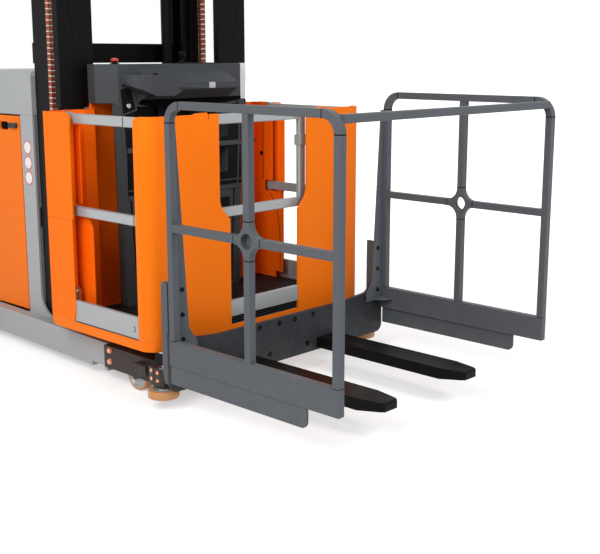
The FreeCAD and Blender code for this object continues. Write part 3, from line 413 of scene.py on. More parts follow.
# Darker copy of the guard grey: painted shade on the carriage plate. Lighter copy of the black:
# painted light on the load arms. Brighter, redder copies of the orange paint: painted light on
# the shaded rear wall and rear posts.
painted("carriage_painted_shade", "303236", 0.42, "55585C", peel=900.0, specular=0.15)
painted("arm_painted_light", "322C2A", 0.45, "5A5450", specular=0.2, low=0.02)
painted("wall_orange_painted_light", "FF680A", 0.40, "FF9A55", mottle=0.05, specular=0.05)
painted("post_orange_painted_light", "FF760E", 0.38, "FFA05A", mottle=0.05, specular=0.07)
PAINTED_LIGHT_AND_SHADE_FINISH = {"fork_carriage": "carriage_painted_shade", "load_arms": "arm_painted_light",
              "rear_wall": "wall_orange_painted_light", "rear_posts": "post_orange_painted_light"}


# ---- frame's nodes ----
EDGE_ANGLE, CRISP_ANGLE, PIECE_ANGLE, FLAT_ANGLE = 32, 20, 34, 0.6  # degrees
MERGE_GAP = 0.00002


def even_shading(name, limit):
    """Joins split vertices and shades round faces smoothly between sharp edges."""
    g = Wires(bpy.data.node_groups.new(name, "GeometryNodeTree"))
    for way in ("INPUT", "OUTPUT"):
        g.tree.interface.new_socket(name="Geometry", in_out=way,
                                    socket_type="NodeSocketGeometry")
    angle = g.add("GeometryNodeInputMeshEdgeAngle").outputs["Unsigned Angle"]
    sharp = g.add("FunctionNodeCompare", data_type="FLOAT", operation="GREATER_THAN")
    g.feed(sharp, A=angle, B=radians(limit))
    row = [g.add("NodeGroupInput"),
           g.feed(g.add("GeometryNodeRemoveAttribute"), Name="custom_normal"),
           g.feed(g.add("GeometryNodeMergeByDistance"), Distance=MERGE_GAP),
           g.add("GeometryNodeSetShadeSmooth", domain="FACE"),
           g.feed(g.add("GeometryNodeSetShadeSmooth", domain="EDGE"),
                  Selection=sharp.outputs["Result"], Shade_Smooth=False),
           g.add("NodeGroupOutput")]
    for before, after in zip(row, row[1:]):
        g.put(before.outputs[0], after.inputs[0])
    return g.tree


SHADING = even_shading("even_shading", EDGE_ANGLE)
CRISP_SHADING = even_shading("crisp_shading", CRISP_ANGLE)
CRISP = ("front_panel_right", "front_panel_left", "cab_floor", "rear_wall")
SOFT_EDGE = {"toe_plates": 0.0012, "console": 0.004,
             **dict.fromkeys(("guard_hoop_right", "guard_hoop_left", "guard_tie",
                              "floor_mat"), 0.002),
             **dict.fromkeys(("cab_floor", "fork_right", "fork_left", "rear_hood",
                              "top_cover", "overhead_guard"), 0.003)}
USUAL_EDGE = 0.0015


def soften(piece, width, angle):
    """Rounds the edges that turn by more than an angle in degrees."""
    soft = piece.modifiers.new("soft_edges", "BEVEL")
    soft.width, soft.segments = width, 2
    soft.limit_method, soft.angle_limit = "ANGLE", radians(angle)
    soft.use_clamp_overlap, soft.harden_normals = False, True


def dress_frame():
    """Gives each carried-over node its slot's finish, even shading and soft edges."""
    slots = {part["node"]: part["material_slot"] for part in frame["record"]["subparts"]}
    for name, piece in nodes.items():
        if not piece.material_slots:
            piece.data.materials.append(None)
        for slot in piece.material_slots:
            slot.material = FINISH[PAINTED_LIGHT_AND_SHADE_FINISH.get(name, slots[name])]
        shading = CRISP_SHADING if name in CRISP else SHADING
        piece.modifiers.new("joined", "NODES").node_group = shading
        plain = piece.modifiers.new("flat_faces", "DECIMATE")
        plain.decimate_type, plain.angle_limit = "DISSOLVE", radians(FLAT_ANGLE)
        soften(piece, SOFT_EDGE.get(name, USUAL_EDGE), EDGE_ANGLE)


dress_frame()


# ---- helpers ----
X, Y, Z = (1, 0, 0), (0, 1, 0), (0, 0, 1)
ARC_STEP = 0.22  # radians between two points of a rounded corner
PROUD = 0.0003  # how far a joint line stands off its tube


def rounded(outline):
    """A closed outline; a point's third value rounds that corner."""
    points = []
    count = len(outline)
    for i, (a, b, *radius) in enumerate(outline):
        here = Vector((a, b))
        if not radius:
            points.append(here)
            continue
        back = (Vector(outline[i - 1][:2]) - here).normalized()
        ahead = (Vector(outline[(i + 1) % count][:2]) - here).normalized()
        half = back.angle(ahead) / 2
        reach = radius[0] / tan(half)
        middle = here + (back + ahead).normalized() * radius[0] / sin(half)
        first, last = here + back * reach, here + ahead * reach
        start = (first - middle).angle_signed(Vector((1, 0)))
        sweep_angle = (last - middle).angle_signed(first - middle)
        steps = max(3, round(abs(sweep_angle) / ARC_STEP))
        for k in range(steps + 1):
            angle = start + sweep_angle * k / steps
            points.append(middle + radius[0] * Vector((cos(angle), sin(angle))))
    return points


def box_outline(a0, a1, b0, b1, radius=0.0):
    corners = [(a0, b0), (a1, b0), (a1, b1), (a0, b1)]
    return [(a, b, radius) for a, b in corners] if radius else corners


def in_scene(name, data):
    made = bpy.data.objects.new(name, data)
    bpy.context.scene.collection.objects.link(made)
    return made


class Shape:
    """Faces gathered for one piece."""

    def __init__(self):
        self.mesh = bmesh.new()

    def face(self, points, finish=0):
        self.mesh.faces.new(points).material_index = finish

    def turned(self, profile, centre, axis, around=24, finish=0, turn=0.0):
        """A solid of revolution from (radius, height) points; a third value is a number
        of flats, and the radius is then the distance to a flat."""
        move = (Matrix.Translation(centre)
                @ Vector(axis).to_track_quat("Z", "Y").to_matrix().to_4x4()
                @ Matrix.Rotation(turn, 4, "Z"))
        rings = []
        for radius, height, *flats in profile:
            if radius == 0:
                rings.append([self.mesh.verts.new(move @ Vector((0, 0, height)))])
                continue
            ring = []
            for i in range(around):
                angle = 2 * pi * i / around
                reach = radius
                if flats:
                    step = 2 * pi / flats[0]
                    reach = radius / cos(angle % step - step / 2)
                ring.append(self.mesh.verts.new(
                    move @ Vector((reach * cos(angle), reach * sin(angle), height))))
            rings.append(ring)
        for low, high in zip(rings, rings[1:]):
            for i in range(around):
                j = (i + 1) % around
                corners = [low[i % len(low)], low[j % len(low)], high[j % len(high)],
                           high[i % len(high)]]
                self.face(list(dict.fromkeys(corners)), finish)
        return self

    def joined(self, low, high, finish=0):
        """Faces between two rings of the same number of points."""
        for i in range(len(low)):
            j = (i + 1) % len(low)
            self.face([low[i], low[j], high[j], high[i]], finish)

    def slab(self, outline, low, high, plane="xz", finish=0):
        """An outline pushed from low to high square to its plane."""
        across, up, through = {"xy": (0, 1, 2), "xz": (0, 2, 1), "yz": (1, 2, 0)}[plane]
        ends = []
        for height in (low, high):
            ring = []
            for a, b in rounded(outline):
                point = [0.0, 0.0, 0.0]
                point[across], point[up], point[through] = a, b, height
                ring.append(self.mesh.verts.new(point))
            ends.append(ring)
        self.face(ends[0][::-1], finish)
        self.face(ends[1], finish)
        self.joined(*ends, finish)
        return self

    def pad(self, a0, a1, b0, b1, low, high, radius=0.0, plane="yz", finish=0):
        """A rectangle with rounded corners pushed from low to high."""
        return self.slab(box_outline(a0, a1, b0, b1, radius), low, high, plane, finish)

    def sweep(self, path, radius, sides=6, closed=False):
        """A round rod along a path of points."""
        points = [Vector(p) for p in path]
        count = len(points)
        rings, normal = [], None
        for i, here in enumerate(points):
            ahead = points[(i + 1) % count] if closed or i + 1 < count else here
            back = points[i - 1] if closed or i else here
            way = (ahead - back).normalized()
            if normal is None:
                normal = way.orthogonal().normalized()
            normal = (normal - way * normal.dot(way)).normalized()
            across = way.cross(normal)
            rings.append([self.mesh.verts.new(
                here + radius * (normal * cos(2 * pi * k / sides)
                                 + across * sin(2 * pi * k / sides)))
                for k in range(sides)])
        for low, high in zip(rings, rings[1:] + (rings[:1] if closed else [])):
            self.joined(low, high)
        if not closed:
            self.face(rings[0][::-1])
            self.face(rings[-1])
        return self

    def seam(self, centre, axis, width, depth, bead=0.0009):
        """A thin weld line round a rectangular tube that runs along an axis."""
        a, b = {"x": (Y, Z), "y": (X, Z)}[axis]
        inset = bead - PROUD
        a0, b0 = width / 2 - inset, depth / 2 - inset
        loop = rounded(box_outline(-a0, a0, -b0, b0, 0.003))
        path = [Vector(centre) + Vector(a) * p.x + Vector(b) * p.y for p in loop]
        return self.sweep(path, bead, closed=True)

    def band(self, centre, axis, size, wide=0.004):
        """A flat dark joint line round a square tube that runs along an axis."""
        middle = Vector(centre)
        level = middle["xyz".index(axis)]
        plane = {"x": "yz", "z": "xy"}[axis]
        a, b = [middle["xyz".index(name)] for name in plane]
        reach = size / 2 + PROUD
        self.pad(a - reach, a + reach, b - reach, b + reach, level - wide / 2,
                 level + wide / 2, 0.0024, plane)

    def hex_bolt(self, centre, axis, size, washer=True, turn=0.0):
        """A hexagon bolt head with a chamfered crown, on a washer."""
        flat, rise = size * 0.9, size * 0.62
        base = size * 0.2 if washer else 0.0
        if washer:
            self.turned([(0, 0), (size * 1.12, 0), (size * 1.12, base * 0.8),
                         (size * 1.05, base), (0, base)], centre, axis)
        self.turned([(0, base), (flat, base, 6), (flat, base + rise * 0.78, 6),
                     (flat * 0.93, base + rise), (flat * 0.6, base + rise * 1.02),
                     (0, base + rise * 0.98)], centre, axis, turn=turn)

    def socket_bolt(self, centre, axis, size, rise):
        """A round-headed bolt with a hexagon socket."""
        key = size * 0.48
        self.turned([(0, 0), (size, 0), (size, rise * 0.55), (size * 0.86, rise * 0.9),
                     (size * 0.7, rise), (key * 1.1, rise), (key, rise * 0.9, 6),
                     (key, rise * 0.3, 6), (0, rise * 0.25)], centre, axis)

    def plug(self, centre, axis, size):
        """A shallow domed plug or the face of a countersunk screw."""
        self.turned([(0, 0), (size, 0), (size, 0.0006), (size * 0.8, 0.0014),
                     (size * 0.4, 0.0018), (0, 0.0019)], centre, axis, 20)

    def piece(self, name, slot, *finishes, body="cab", edge=0.0):
        """Ends the piece: shading, soft edges, finish, and the body that it rides on."""
        bmesh.ops.recalc_face_normals(self.mesh, faces=self.mesh.faces)
        mesh = bpy.data.meshes.new(name)
        self.mesh.to_mesh(mesh)
        self.mesh.free()
        mesh.shade_smooth()
        mesh.set_sharp_from_angle(angle=radians(PIECE_ANGLE))
        for finish in finishes or [slot]:
            mesh.materials.append(FINISH[finish])
        made = in_scene(name, mesh)
        if edge:
            soften(made, edge, PIECE_ANGLE)
        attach(made, body)
        return made


# ---- wheels ----
def mirrored(profile, width):
    return [(radius, width - height) for radius, height in profile]


def tyre_profile(r, width, hub_r, shoulder):
    """Section of a bonded tyre from its inner edge, over the tread, and back."""
    near = [(hub_r, 0.001), (r - shoulder * 1.6, 0.0), (r - shoulder * 0.5, shoulder * 0.35),
            (r, shoulder * 1.3)]
    return near + mirrored(near, width)[::-1] + near[:1]


def make_wheel(name, axis, tyre, bolts=0):
    """A tyre on a dished hub with a bearing cap, where a node is and as large as it."""
    low, high = BOX[name]
    way, centre = Vector(axis), (low + high) / 2
    width = high.z - low.z if way.z else high.y - low.y
    r = (high.x - low.x if way.z else high.z - low.z) / 2
    foot = centre - way * width / 2
    rim = r - tyre
    shape = Shape().turned(tyre_profile(r, width, rim, min(0.004, tyre * 0.3)), foot, axis, 64)
    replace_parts(shape.piece(name + "_tyre", "wheel_tan", body=name + "_body"), name)
    dish = min(0.008, width * 0.14)
    boss = rim * 0.38
    side = [(rim, dish * 0.2), (rim * 0.93, 0.0), (rim * 0.88, 0.0005), (rim * 0.8, dish),
            (boss * 1.25, dish), (boss, dish * 0.3), (boss * 0.96, 0.001), (boss * 0.6, 0.0005),
            (boss * 0.52, 0.003), (0, 0.003)]
    hub = Shape().turned(side[::-1] + mirrored(side, width), foot, axis, 48)
    for k in range(bolts):
        angle = 2 * pi * k / bolts
        across = way.orthogonal().normalized()
        spoke = Matrix.Rotation(angle, 3, way) @ across * rim * 0.58
        for sign in (-1, 1):
            spot = centre + spoke + way * sign * (width / 2 - dish)
            hub.hex_bolt(spot, way * sign, rim * 0.05, washer=False, turn=angle)
    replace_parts(hub.piece(name + "_hub", "wheel_tan", "hub_grey", body=name + "_body"), name)


def wheels():
    for side in SIDES:
        make_wheel("load_wheel_" + side, Y, 0.013)
        for end in ("front", "rear"):
            make_wheel(f"guide_roller_{end}_{side}", Z, 0.02)
    make_wheel("drive_wheel", Y, 0.032, bolts=7)


wheels()


# ---- chassis pieces ----
def chassis_pieces():
    arm = BOX["load_arms"]
    arm_y, clamp_y, door_y = 0.675, 0.750, 0.550
    for side, s in SIDES.items():
        out = (0, s, 0)
        signs = Shape()
        for k in range(3):
            spot = (-0.797, s * (door_y + 0.0001), 0.972 + 0.085 * k)
            signs.turned([(0, 0), (0.0385, 0), (0.0385, 0.0006), (0.0325, 0.0006)], spot,
                         out, 40, finish=1)
            signs.turned([(0.0325, 0.0006), (0.032, 0.0007), (0, 0.0007)], spot, out, 40)
        signs.piece("pillar_discs_" + side, "chassis_grey", "white_sheet", "red_ring",
                    body="chassis")

        bolts = Shape()
        for z in (0.175, 0.117):
            bolts.hex_bolt((arm[0].x + 0.052, s * arm_y, z), out, 0.0142, turn=z * 9)
        for x, y in ((0.500, clamp_y - 0.008), (0.556, clamp_y)):
            for z in (0.178, 0.138):
                bolts.turned([(0, 0), (0.0105, 0), (0.0105, 0.002), (0.0092, 0.0055),
                              (0.0055, 0.008), (0, 0.0088)], (x, s * y, z), out, 20)
        bolts.piece("arm_bolts_" + side, "chain_copper", "copper_bolt", body="chassis")

        Shape().turned([(0, 0.0), (0.030, 0.0), (0.030, 0.004), (0.024, 0.0055),
                        (0.012, 0.0055), (0.011, 0.012), (0, 0.012)],
                       (0.556, s * 0.712, arm[1].z), Z, 32).piece(
            "roller_pin_cap_" + side, "bright_steel", body="chassis")

        frame_bolts = Shape()
        for x in (-1.43, -1.34):
            frame_bolts.hex_bolt((x, s * 0.725, 0.122), Z, 0.009)
        frame_bolts.piece("rear_roller_bolts_" + side, "chain_copper", "copper_bolt",
                          body="chassis")

        # Recess, its floor, the cover with two round buttons, and the slot in it, drawn as a
        # dark line of painted shade.
        latch = Shape()
        latch.pad(-1.071, -0.992, 1.233, 1.273, s * (door_y - 0.012), s * (door_y - 0.020),
                  0.006, "xz")
        latch.pad(-1.062, -1.013, 1.242, 1.264, s * (door_y - 0.002), s * (door_y - 0.013),
                  0.006, "xz")
        latch.slab([(-0.9625, 1.2435, 0.006), (-0.934, 1.2435, 0.005), (-0.9255, 1.2475, 0.004),
                    (-0.917, 1.2435, 0.005), (-0.8875, 1.2435, 0.006), (-0.8875, 1.2725, 0.006),
                    (-0.917, 1.2725, 0.005), (-0.9255, 1.2690, 0.004), (-0.934, 1.2725, 0.005),
                    (-0.9625, 1.2725, 0.006)], s * (door_y - 0.0005), s * (door_y + 0.0168),
                   finish=2)
        for x in (-0.9445, -0.9065):
            latch.turned([(0.0135, 0.0), (0.0135, 0.0185), (0.0120, 0.0200), (0.009, 0.0200),
                          (0.0085, 0.0188), (0, 0.0188)], (x, s * door_y, 1.258), out, 32,
                         finish=2)
        latch.pad(-0.9475, -0.9415, 1.2500, 1.2660, s * (door_y + 0.0180),
                  s * (door_y + 0.0192), 0.0015, "xz", finish=1)
        latch.piece("door_latch_" + side, "mast_black", "hollow_shade_black", "soft_black",
                    "console_grey", body=f"battery_door_{side}_body", edge=0.0008)


chassis_pieces()


# ---- guard and forks ----
def guard_pieces():
    face, front = [corner.x for corner in BOX["guard_hoop_right"]]
    outer, tube, hub_z = 0.782, 0.035, 0.891
    mid = face + 0.514
    for side, s in SIDES.items():
        y = s * (outer - tube / 2)
        seams = Shape()
        for x in (face + tube / 2, front - tube / 2):
            seams.band((x, y, 1.356), "z", tube, 0.0045)
            seams.band((x, y, 0.3675), "z", tube, 0.0025)
        for x in (face + 0.095, front - 0.098):
            seams.band((x, y, 1.450 - tube / 2), "x", tube, 0.0045)
        for z in (0.808, 0.974):
            seams.band((mid, y, z), "z", tube)
        for x in (mid - 0.079, mid + 0.079):
            seams.band((x, y, hub_z), "x", tube)
        seams.piece("guard_seams_" + side, "guard_grey", "hollow_shade_black")

        bolts = Shape()
        for z in (0.596, 0.478, 0.361):
            bolts.socket_bolt((face + 0.008, s * 0.707, z), X, 0.0105, 0.008)
        bolts.piece("bracket_bolts_" + side, "mast_black", "black_bolt")
        # Painted shade: a dark plate fills the gap between the cab's lower corner and the guard
        # bracket.
        Shape().pad(0.528, 0.594, 0.222, 0.270, s * 0.7365, s * 0.7425, 0.004, "xz").piece(
            "corner_shade_plate_" + side, "mast_black", edge=0.001)

    plug = Shape()
    for profile in ([(0.0334, 0), (0.0334, 0.0035), (0.0300, 0.0045), (0.0270, 0.0030),
                     (0, 0.0030)], [(0, 0), (0.0334, 0)]):
        plug.turned(profile, (mid, -0.7475, hub_z), (0, -1, 0), 48)
    plug.piece("hub_plug", "guard_grey")

    plate_x = BOX["fork_carriage"][1].x
    screws = Shape()
    for y, z in ((-0.195, 0.310), (-0.056, 0.307), (0.059, 0.307), (0.199, 0.307),
                 (-0.125, 0.158), (0.154, 0.158)):
        screws.turned([(0.0142, 0.0002), (0.0138, 0.0012), (0.0110, 0.0014), (0.0096, 0.0004)],
                      (plate_x, y, z), X, 28)
        # The shallow socket is near-black: painted shade.
        screws.turned([(0.0096, 0.0006), (0.0055, 0.0010), (0.0052, 0.0003, 6), (0, 0.0003)],
                      (plate_x, y, z), X, finish=1)
    screws.piece("carriage_screws", "mast_black", "hollow_shade_black", "black_bolt")

    for side, s in SIDES.items():
        low, high = BOX["fork_" + side]
        middle, size, cap = (low + high) / 2, high - low, 0.135
        Shape().seam((high.x - cap, middle.y, middle.z), "x", size.y + 0.0004,
                     size.z + 0.0004, bead=0.0013).piece(
            "fork_cap_seam_" + side, "mast_black", "soft_black")
        heel = Shape()
        inner = low.y if s > 0 else high.y
        for x in (low.x + 0.135, low.x + 0.185):
            heel.socket_bolt((x, inner, 0.150), (0, -s, 0), 0.008, 0.004)
        heel.pad(low.x + 0.15, low.x + 0.17, 0.158, 0.170, inner - s * 0.006, inner, 0.004,
                 "xz")
        heel.piece("fork_heel_latch_" + side, "mast_black", "black_bolt", edge=0.001)


guard_pieces()


# ---- cab pieces ----
GATE_RAILS = (0.876, 1.339)
RAIL_SIZE = (0.026, 0.050)


def arc(x, y, z, x_reach, z_reach, half, steps):
    """Points of an upright arc about a middle, from -half to half, in degrees."""
    turns = [radians(-half + 2 * half * k / steps) for k in range(steps + 1)]
    return [(x + x_reach * cos(a), y, z + z_reach * sin(a)) for a in turns]


def side_pieces(side, s, front):
    """Plugs, kick plate, gate and folded edges of one side of the cab."""
    half, plate_y, flange_y = 0.760, 0.755, 0.6768
    out, body = (0, s, 0), f"side_gate_{side}_body"
    plugs = Shape()
    for x, z in ((-0.24, 1.32), (-0.15, 1.32), (-0.255, 1.02), (-0.262, 0.72),
                 (-0.262, 0.46), (0.455, 0.35), (0.455, 1.25)):
        plugs.plug((x, s * half, z), out, 0.005)
    for x in (-0.18, 0.12, 0.40):
        plugs.plug((x, s * half, 0.287), out, 0.0055)
    for y, z in ((0.62, 0.335), (0.50, 0.335), (0.33, 0.335), (0.64, 1.34), (0.36, 1.345)):
        plugs.plug((front, s * y, z), X, 0.004)
    plugs.piece("panel_plugs_" + side, "orange_paint")

    kick = Shape()
    for x in (-0.0845, 0.4215):
        kick.pad(x - 0.004, x + 0.004, 0.316, 0.420, s * plate_y, s * (plate_y + 0.0012),
                 0.001, "xz")
    kick.piece("kick_plate_ends_" + side, "silver_paint")
    # A black arc on the plate: painted shade inside the hook slot.
    hook = arc(0.390, s * (plate_y + 0.0004), 0.360, 0.009, 0.013, 110, 16)
    Shape().sweep(hook, 0.0018, 8).piece("kick_hook_slot_" + side, "mast_black", "seam_shadow")
    # A thin black strip: painted shade in the gap under the kick plate.
    Shape().pad(-0.090, 0.428, 0.3102, 0.3162, s * plate_y, s * (plate_y + 0.0006),
                plane="xz").piece("kick_gap_shade_" + side, "mast_black", "seam_shadow")

    catch = Shape()
    x = -0.0975
    catch.slab([(s * 0.712, 0.413, 0.003), (s * 0.752, 0.413, 0.003),
                (s * 0.752, 0.478, 0.003), (s * 0.742, 0.494, 0.004),
                (s * 0.730, 0.494, 0.004), (s * 0.712, 0.466, 0.004)], x, x + 0.003, "yz")
    catch.turned([(0, 0), (0.0105, 0), (0.0105, 0.004), (0.0075, 0.0045), (0.0075, 0.012),
                  (0.006, 0.0135), (0, 0.0135)], (x + 0.003, s * 0.740, 0.470), X)
    catch.turned([(0, 0), (0.006, 0), (0.006, 0.006), (0, 0.0065)],
                 (x + 0.003, s * 0.741, 0.442), X, 20)
    catch.piece("kick_catch_" + side, "bright_steel", edge=0.0006)

    caps, welds = Shape(), Shape()
    for z, end in zip(GATE_RAILS, (0.363, 0.300)):
        caps.pad(end - 0.0005, end + 0.002, z - 0.021, z + 0.021, s * 0.6935, s * 0.7165,
                 0.0009, "xz")
        caps.sweep(arc(end - 0.022, s * 0.7166, z, 0.021, 0.0195, 90, 12), 0.0012)
        welds.seam((BOX["side_gate_" + side][0].x + 0.029, s * 0.705, z), "x", *RAIL_SIZE)
    caps.piece("gate_end_caps_" + side, "mast_black", "soft_black", body=body, edge=0.0005)
    Shape().pad(-0.1625, -0.1355, *sorted((s * 0.6915, s * 0.7185)), 0.900, 1.314, 0.005,
                "xy").piece("gate_sleeve_" + side, "orange_paint", "wall_orange_painted_light", body=body,
                            edge=0.001)
    welds.piece("gate_welds_" + side, "silver_paint", body=body)

    # Folded edges of the wall, the post's front edge, and a black line of painted shade along
    # the fold.
    flange = Shape()
    for outline in ([(-0.122, 0.912), (-0.101, 0.912), (-0.101, 1.305), (-0.122, 1.305)],
                    [(-0.084, 0.358), (-0.016, 0.358, 0.004), (-0.016, 0.790, 0.02),
                     (-0.048, 0.843, 0.004), (-0.084, 0.843)]):
        flange.slab(outline, s * flange_y, s * 0.6826)
    flange.pad(-0.186, -0.160, 0.838, 0.914, s * flange_y, s * 0.6782, 0.003, "xz")
    flange.piece("flange_lips_" + side, "orange_paint", "wall_orange_painted_light", edge=0.001)
    Shape().slab([(-0.104, 0.345), (-0.084, 0.345, 0.004), (-0.084, 1.330, 0.004),
                  (-0.104, 1.330)], s * 0.7535, s * 0.7594).piece(
        "post_lips_" + side, "orange_paint", "post_orange_painted_light", edge=0.001)
    crease_shade = Shape()
    for path in (((-0.177, 1.300), (-0.178, 0.930), (-0.174, 0.912)),
                 ((-0.122, 0.838), (-0.110, 0.822), (-0.088, 0.793), (-0.062, 0.735),
                  (-0.042, 0.640), (-0.037, 0.560), (-0.036, 0.370))):
        crease_shade.sweep([(x, s * 0.6760, z) for x, z in path], 0.0016)
    crease_shade.piece("flange_crease_shade_" + side, "mast_black", "hollow_shade_black")
    tab = Shape()
    tab.slab([(s * 0.385, 1.350), (s * 0.465, 1.350), (s * 0.465, 1.3755, 0.003),
              (s * 0.385, 1.3785, 0.003)], front - 0.013, front - 0.0008, "yz")
    tab.slab([(s * 0.3755, 1.343), (s * 0.3785, 1.343), (s * 0.3785, 1.3735),
              (s * 0.3755, 1.3735)], front - 0.001, front + 0.0004, "yz", finish=1)
    tab.piece("panel_tab_" + side, "orange_paint", "orange_paint", "hollow_shade_black", edge=0.0008)
    clip = Shape()
    for x, z in ((-0.260, 1.141), (-0.192, 1.068)):
        clip.turned([(0, 0), (0.0125, 0), (0.0125, 0.003), (0.010, 0.005), (0.0055, 0.0052),
                     (0.005, 0.003), (0, 0.003)], (x, s * 0.6785, z), (0, -s, 0))
    clip.piece("flange_bolts_" + side, "mast_black", "black_bolt")


def cab_pieces():
    front = BOX["front_panel_right"][1].x
    for side, s in SIDES.items():
        side_pieces(side, s, front)

    sill = Shape()
    sill.pad(-0.241, 0.241, 0.3105, 0.349, front - 0.0148, front - 0.0138)
    sill.pad(-0.243, 0.243, 0.3101, 0.3118, front - 0.0138, front - 0.002, finish=1)
    for z in (0.3225, 0.3355):
        sill.pad(-0.241, 0.241, z - 0.0012, z + 0.0012, front - 0.0138, front - 0.0122,
                 finish=1)
    sill.piece("sill_shadow", "mast_black", "hollow_shade_black", "seam_shadow")

    joints = Shape()
    for z in GATE_RAILS:
        joints.seam((0.465, 0.299, z), "y", *RAIL_SIZE)
    joints.piece("front_gate_welds", "silver_paint", "seam_shadow", body="front_gate_body")


cab_pieces()


# ---- console pieces ----
def console_front(face):
    """Ridges, recesses, lips and gaps of the console's front."""
    back, inset = face - 0.001, -0.2038
    for side, s in SIDES.items():
        ridge = Shape()
        for low, high, rise, finish in ((0.408, 0.466, 0.0022, 0), (0.366, 0.424, 0.003, 0),
                                        (0.340, 0.398, 0.0016, 1)):
            ridge.slab([(s * low - 0.005, 0.345), (s * low + 0.005, 0.345),
                        (s * high + 0.005, 1.395), (s * high - 0.005, 1.395)], back,
                       face + rise, "yz", finish=finish)
        ridge.piece("console_ridge_" + side, "console_grey", "console_grey",
                    "soft_black", edge=0.001)
    trim = Shape()
    for low, high in ((0.992, 1.142), (1.192, 1.376)):
        trim.pad(-0.328, 0.328, low, high, inset, -0.2020)
        for y in (-0.11, 0.11):
            trim.pad(y - 0.006, y + 0.006, low, high, inset, -0.180)
    trim.pad(-0.335, 0.335, 0.42, 0.846, back, face + 0.0022, 0.01)
    for y in (-0.22, 0.0, 0.22):
        trim.pad(y - 0.07, y + 0.07, 0.47, 0.81, face + 0.002, face + 0.0052, 0.02)
    for edges in ((-0.388, -0.327, 0.898, 1.378), (0.327, 0.428, 0.898, 1.378),
                  (-0.328, 0.328, 0.896, 0.993), (-0.328, 0.328, 1.141, 1.193)):
        trim.pad(*edges, back, face + 0.0012)
    trim.piece("console_recesses", "console_grey", "soft_black", edge=0.001)
    lips = Shape()
    for low, high in ((0.892, 0.917), (0.940, 0.948), (1.142, 1.168)):
        lips.pad(-0.386, 0.426, low, high, back, face + 0.006)
    lips.piece("console_shelf_lips", "console_grey", edge=0.0015)

    shadow = Shape()
    shadow.slab([(-0.302, 1.414), (-0.302, 1.392), (-0.220, 1.380), (-0.125, 1.374),
                 (0.182, 1.380), (0.330, 1.386), (0.430, 1.400), (0.430, 1.418)],
                back, face + 0.0016, "yz")
    shadow.slab([(-0.109, 1.4030), (-0.078, 1.4206), (-0.078, 1.4166), (-0.109, 1.3990)],
                -0.300, 0.298)
    shadow.piece("desk_shadow_gap", "console_grey", "hollow_shade_black")
    Shape().slab([(0.497, 1.392, 0.006), (0.557, 1.389, 0.020), (0.557, 1.600, 0.012),
                  (0.497, 1.600, 0.006)], -0.2030, -0.1990, "yz").piece(
        "side_screen", "console_grey", "white_sheet", edge=0.001)


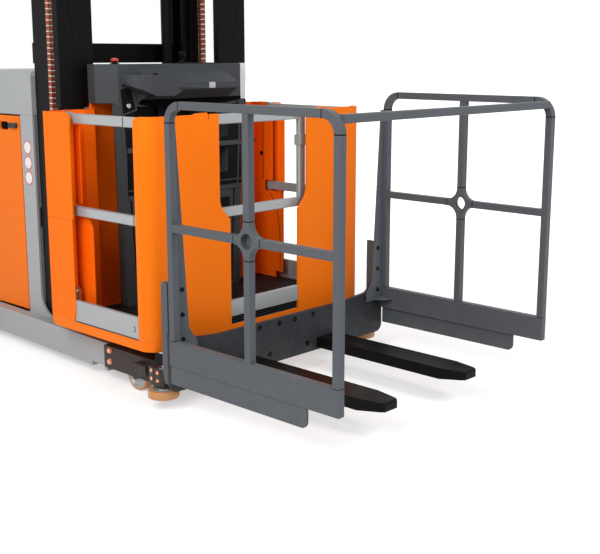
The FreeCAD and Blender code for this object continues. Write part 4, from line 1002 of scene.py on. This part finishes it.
def desk_controls(face, top):
    """Switch plate, key, bowl, clip, display, stop button and lever."""
    plate, level = Shape(), face + 0.0045
    plate.slab([(-0.415, 1.337, 0.004), (-0.314, 1.362, 0.004), (-0.350, 1.497, 0.004),
                (-0.427, 1.479, 0.004)], face - 0.001, face + 0.0035, "yz", finish=1)
    plate.slab([(-0.407, 1.347, 0.003), (-0.325, 1.368, 0.003), (-0.357, 1.487, 0.003),
                (-0.419, 1.472, 0.003)], face + 0.003, level, "yz")
    plate.turned([(0.012, 0.0), (0.021, 0.0), (0.021, 0.003), (0.0185, 0.0045),
                  (0.015, 0.0040), (0, 0.0040)], (level, -0.393, 1.444), X, 36)
    plate.turned([(0, 0), (0.0045, 0), (0.0045, 0.002), (0, 0.0022)],
                 (level, -0.368, 1.466), X, 16)
    plate.turned([(0, 0), (0.018, 0), (0.018, 0.003), (0.016, 0.004), (0, 0.004)],
                 (level, -0.379, 1.388), X, 32)
    plate.pad(-0.410, -0.372, 1.4905, 1.4955, face + 0.001, face + 0.006)
    plate.piece("switch_plate", "console_grey", "soft_black", "console_grey", edge=0.0006)
    Shape().turned([(0, 0), (0.0135, 0), (0.0135, 0.010), (0.0115, 0.013), (0.006, 0.0135),
                    (0.0055, 0.0115), (0, 0.0115)], (face + 0.0085, -0.379, 1.388), X,
                   32).piece("key_switch", "bright_steel")

    bowl = Vector((-0.084, -0.215, 1.545))
    dish = Shape()
    dish.turned([(0.014, -0.036), (0.022, -0.037), (0.050, -0.039), (0.063, -0.034),
                 (0.070, -0.018), (0.0715, -0.002), (0.0755, 0.0015), (0.081, 0.0015),
                 (0.084, -0.001)], bowl, Z, 64)
    dish.turned([(0, -0.036), (0.020, -0.036), (0.020, -0.014), (0.017, -0.010),
                 (0, -0.010)], bowl, Z, 40)
    dish.piece("steering_dish", "console_grey", "soft_black")
    Shape().turned([(0, 0), (0.009, 0), (0.008, 0.010), (0.013, 0.018), (0.0165, 0.030),
                    (0.013, 0.041), (0.006, 0.045), (0, 0.0455)],
                   bowl + Vector((0.044, -0.024, -0.034)), Z, 32).piece(
        "steering_grip", "console_grey", "soft_black")

    clip = Shape()
    clip.pad(0.086, 0.130, 1.472, 1.503, 0.0105, 0.0135, 0.004)
    clip.pad(0.092, 0.124, 1.478, 1.488, 0.013, 0.017, 0.003)
    clip.piece("desk_clip", "bright_steel", edge=0.0008)

    panel = Shape()
    panel.pad(-0.255, -0.125, 0.12, 0.30, top - 0.012, top + 0.004, 0.012, "xy")
    panel.pad(-0.245, -0.135, 0.135, 0.285, top + 0.0035, top + 0.0055, 0.004, "xy", finish=1)
    panel.piece("display_screen", "console_grey", "soft_black", "screen", edge=0.0012)
    stop, spot = Shape(), (-0.17, -0.40, top - 0.0005)
    stop.turned([(0, -0.004), (0.024, -0.004), (0.024, 0.004), (0.021, 0.006), (0.013, 0.006),
                 (0.013, 0.014)], spot, Z, 36, finish=1)
    stop.turned([(0.013, 0.014), (0.0205, 0.016), (0.0215, 0.022), (0.018, 0.028),
                 (0.008, 0.031), (0, 0.0315)], spot, Z, 36)
    stop.piece("stop_button", "console_grey", "red_cap", "soft_black")
    Shape().turned([(0, 0), (0.020, 0), (0.019, 0.008), (0.012, 0.014), (0.007, 0.018),
                    (0.007, 0.030), (0.013, 0.036), (0.017, 0.050), (0.016, 0.062),
                    (0.009, 0.068), (0, 0.069)], (-0.15, 0.03, top - 0.002), (0.15, 0, 1),
                   32).piece("hydraulic_lever", "console_grey", "soft_black")


CONSOLE_FACE, DESK_TOP = -0.108, 1.600
console_front(CONSOLE_FACE)
desk_controls(CONSOLE_FACE, DESK_TOP)


# ---- stage ----
def lamp(name, spot, aim, size, power):
    data = bpy.data.lights.new(name, "AREA")
    data.shape, data.size, data.energy = "DISK", size, power
    made = in_scene(name, data)
    made.location = spot
    way = Vector(aim) - Vector(spot)
    made.rotation_euler = way.to_track_quat("-Z", "Y").to_euler()


def studio():
    """Pale floor and surround, soft lamps, and the camera."""
    scene, white = bpy.context.scene, (1, 1, 1, 1)
    span = 40.0
    mesh = bpy.data.meshes.new("floor")
    mesh.from_pydata([(-span, -span, 0), (span, -span, 0), (span, span, 0), (-span, span, 0)],
                     [], [(0, 1, 2, 3)])
    in_scene("floor", mesh)
    g, surface = shader("floor_white")
    far = g.ramp(g.vectors("LENGTH", g.place()), 1.8, 4.5)
    glow = g.maths("MULTIPLY_ADD", far, 0.54, 0.46)
    g.feed(surface, Base_Color=(0.80, 0.80, 0.80, 1), Roughness=0.9, Specular_IOR_Level=0.1,
           Emission_Color=white, Emission_Strength=g.maths("MULTIPLY", g.seen(), glow))
    mesh.materials.append(FINISH["floor_white"])

    world = bpy.data.worlds.new("surround")
    scene.world = world
    world.use_nodes = True
    g = Wires(world.node_tree)
    g.feed(g.tree.nodes["Background"], Color=white,
           Strength=g.maths("MULTIPLY_ADD", g.seen(), 0.50, 0.50))

    lamp("key_lamp", (1.7, -4.6, 3.9), (0.2, -0.5, 0.8), 3.0, 170)
    lamp("fill_lamp", (5.8, 0.2, 4.7), (0.3, 0, 0.8), 3.0, 150)

    data = bpy.data.cameras.new("camera")
    data.lens, data.sensor_width, data.shift_y = 61.22, 36.0, -0.0305
    camera = in_scene("camera", data)
    camera.location = (4.208, -3.639, 1.650)
    turn, tilt = radians(43.39), radians(11.33)
    look = Vector((-sin(turn) * cos(tilt), cos(turn) * cos(tilt),
                   -sin(tilt)))
    camera.rotation_euler = look.to_track_quat("-Z", "Y").to_euler()
    scene.camera = camera
    scene.view_settings.view_transform = "Standard"


studio()
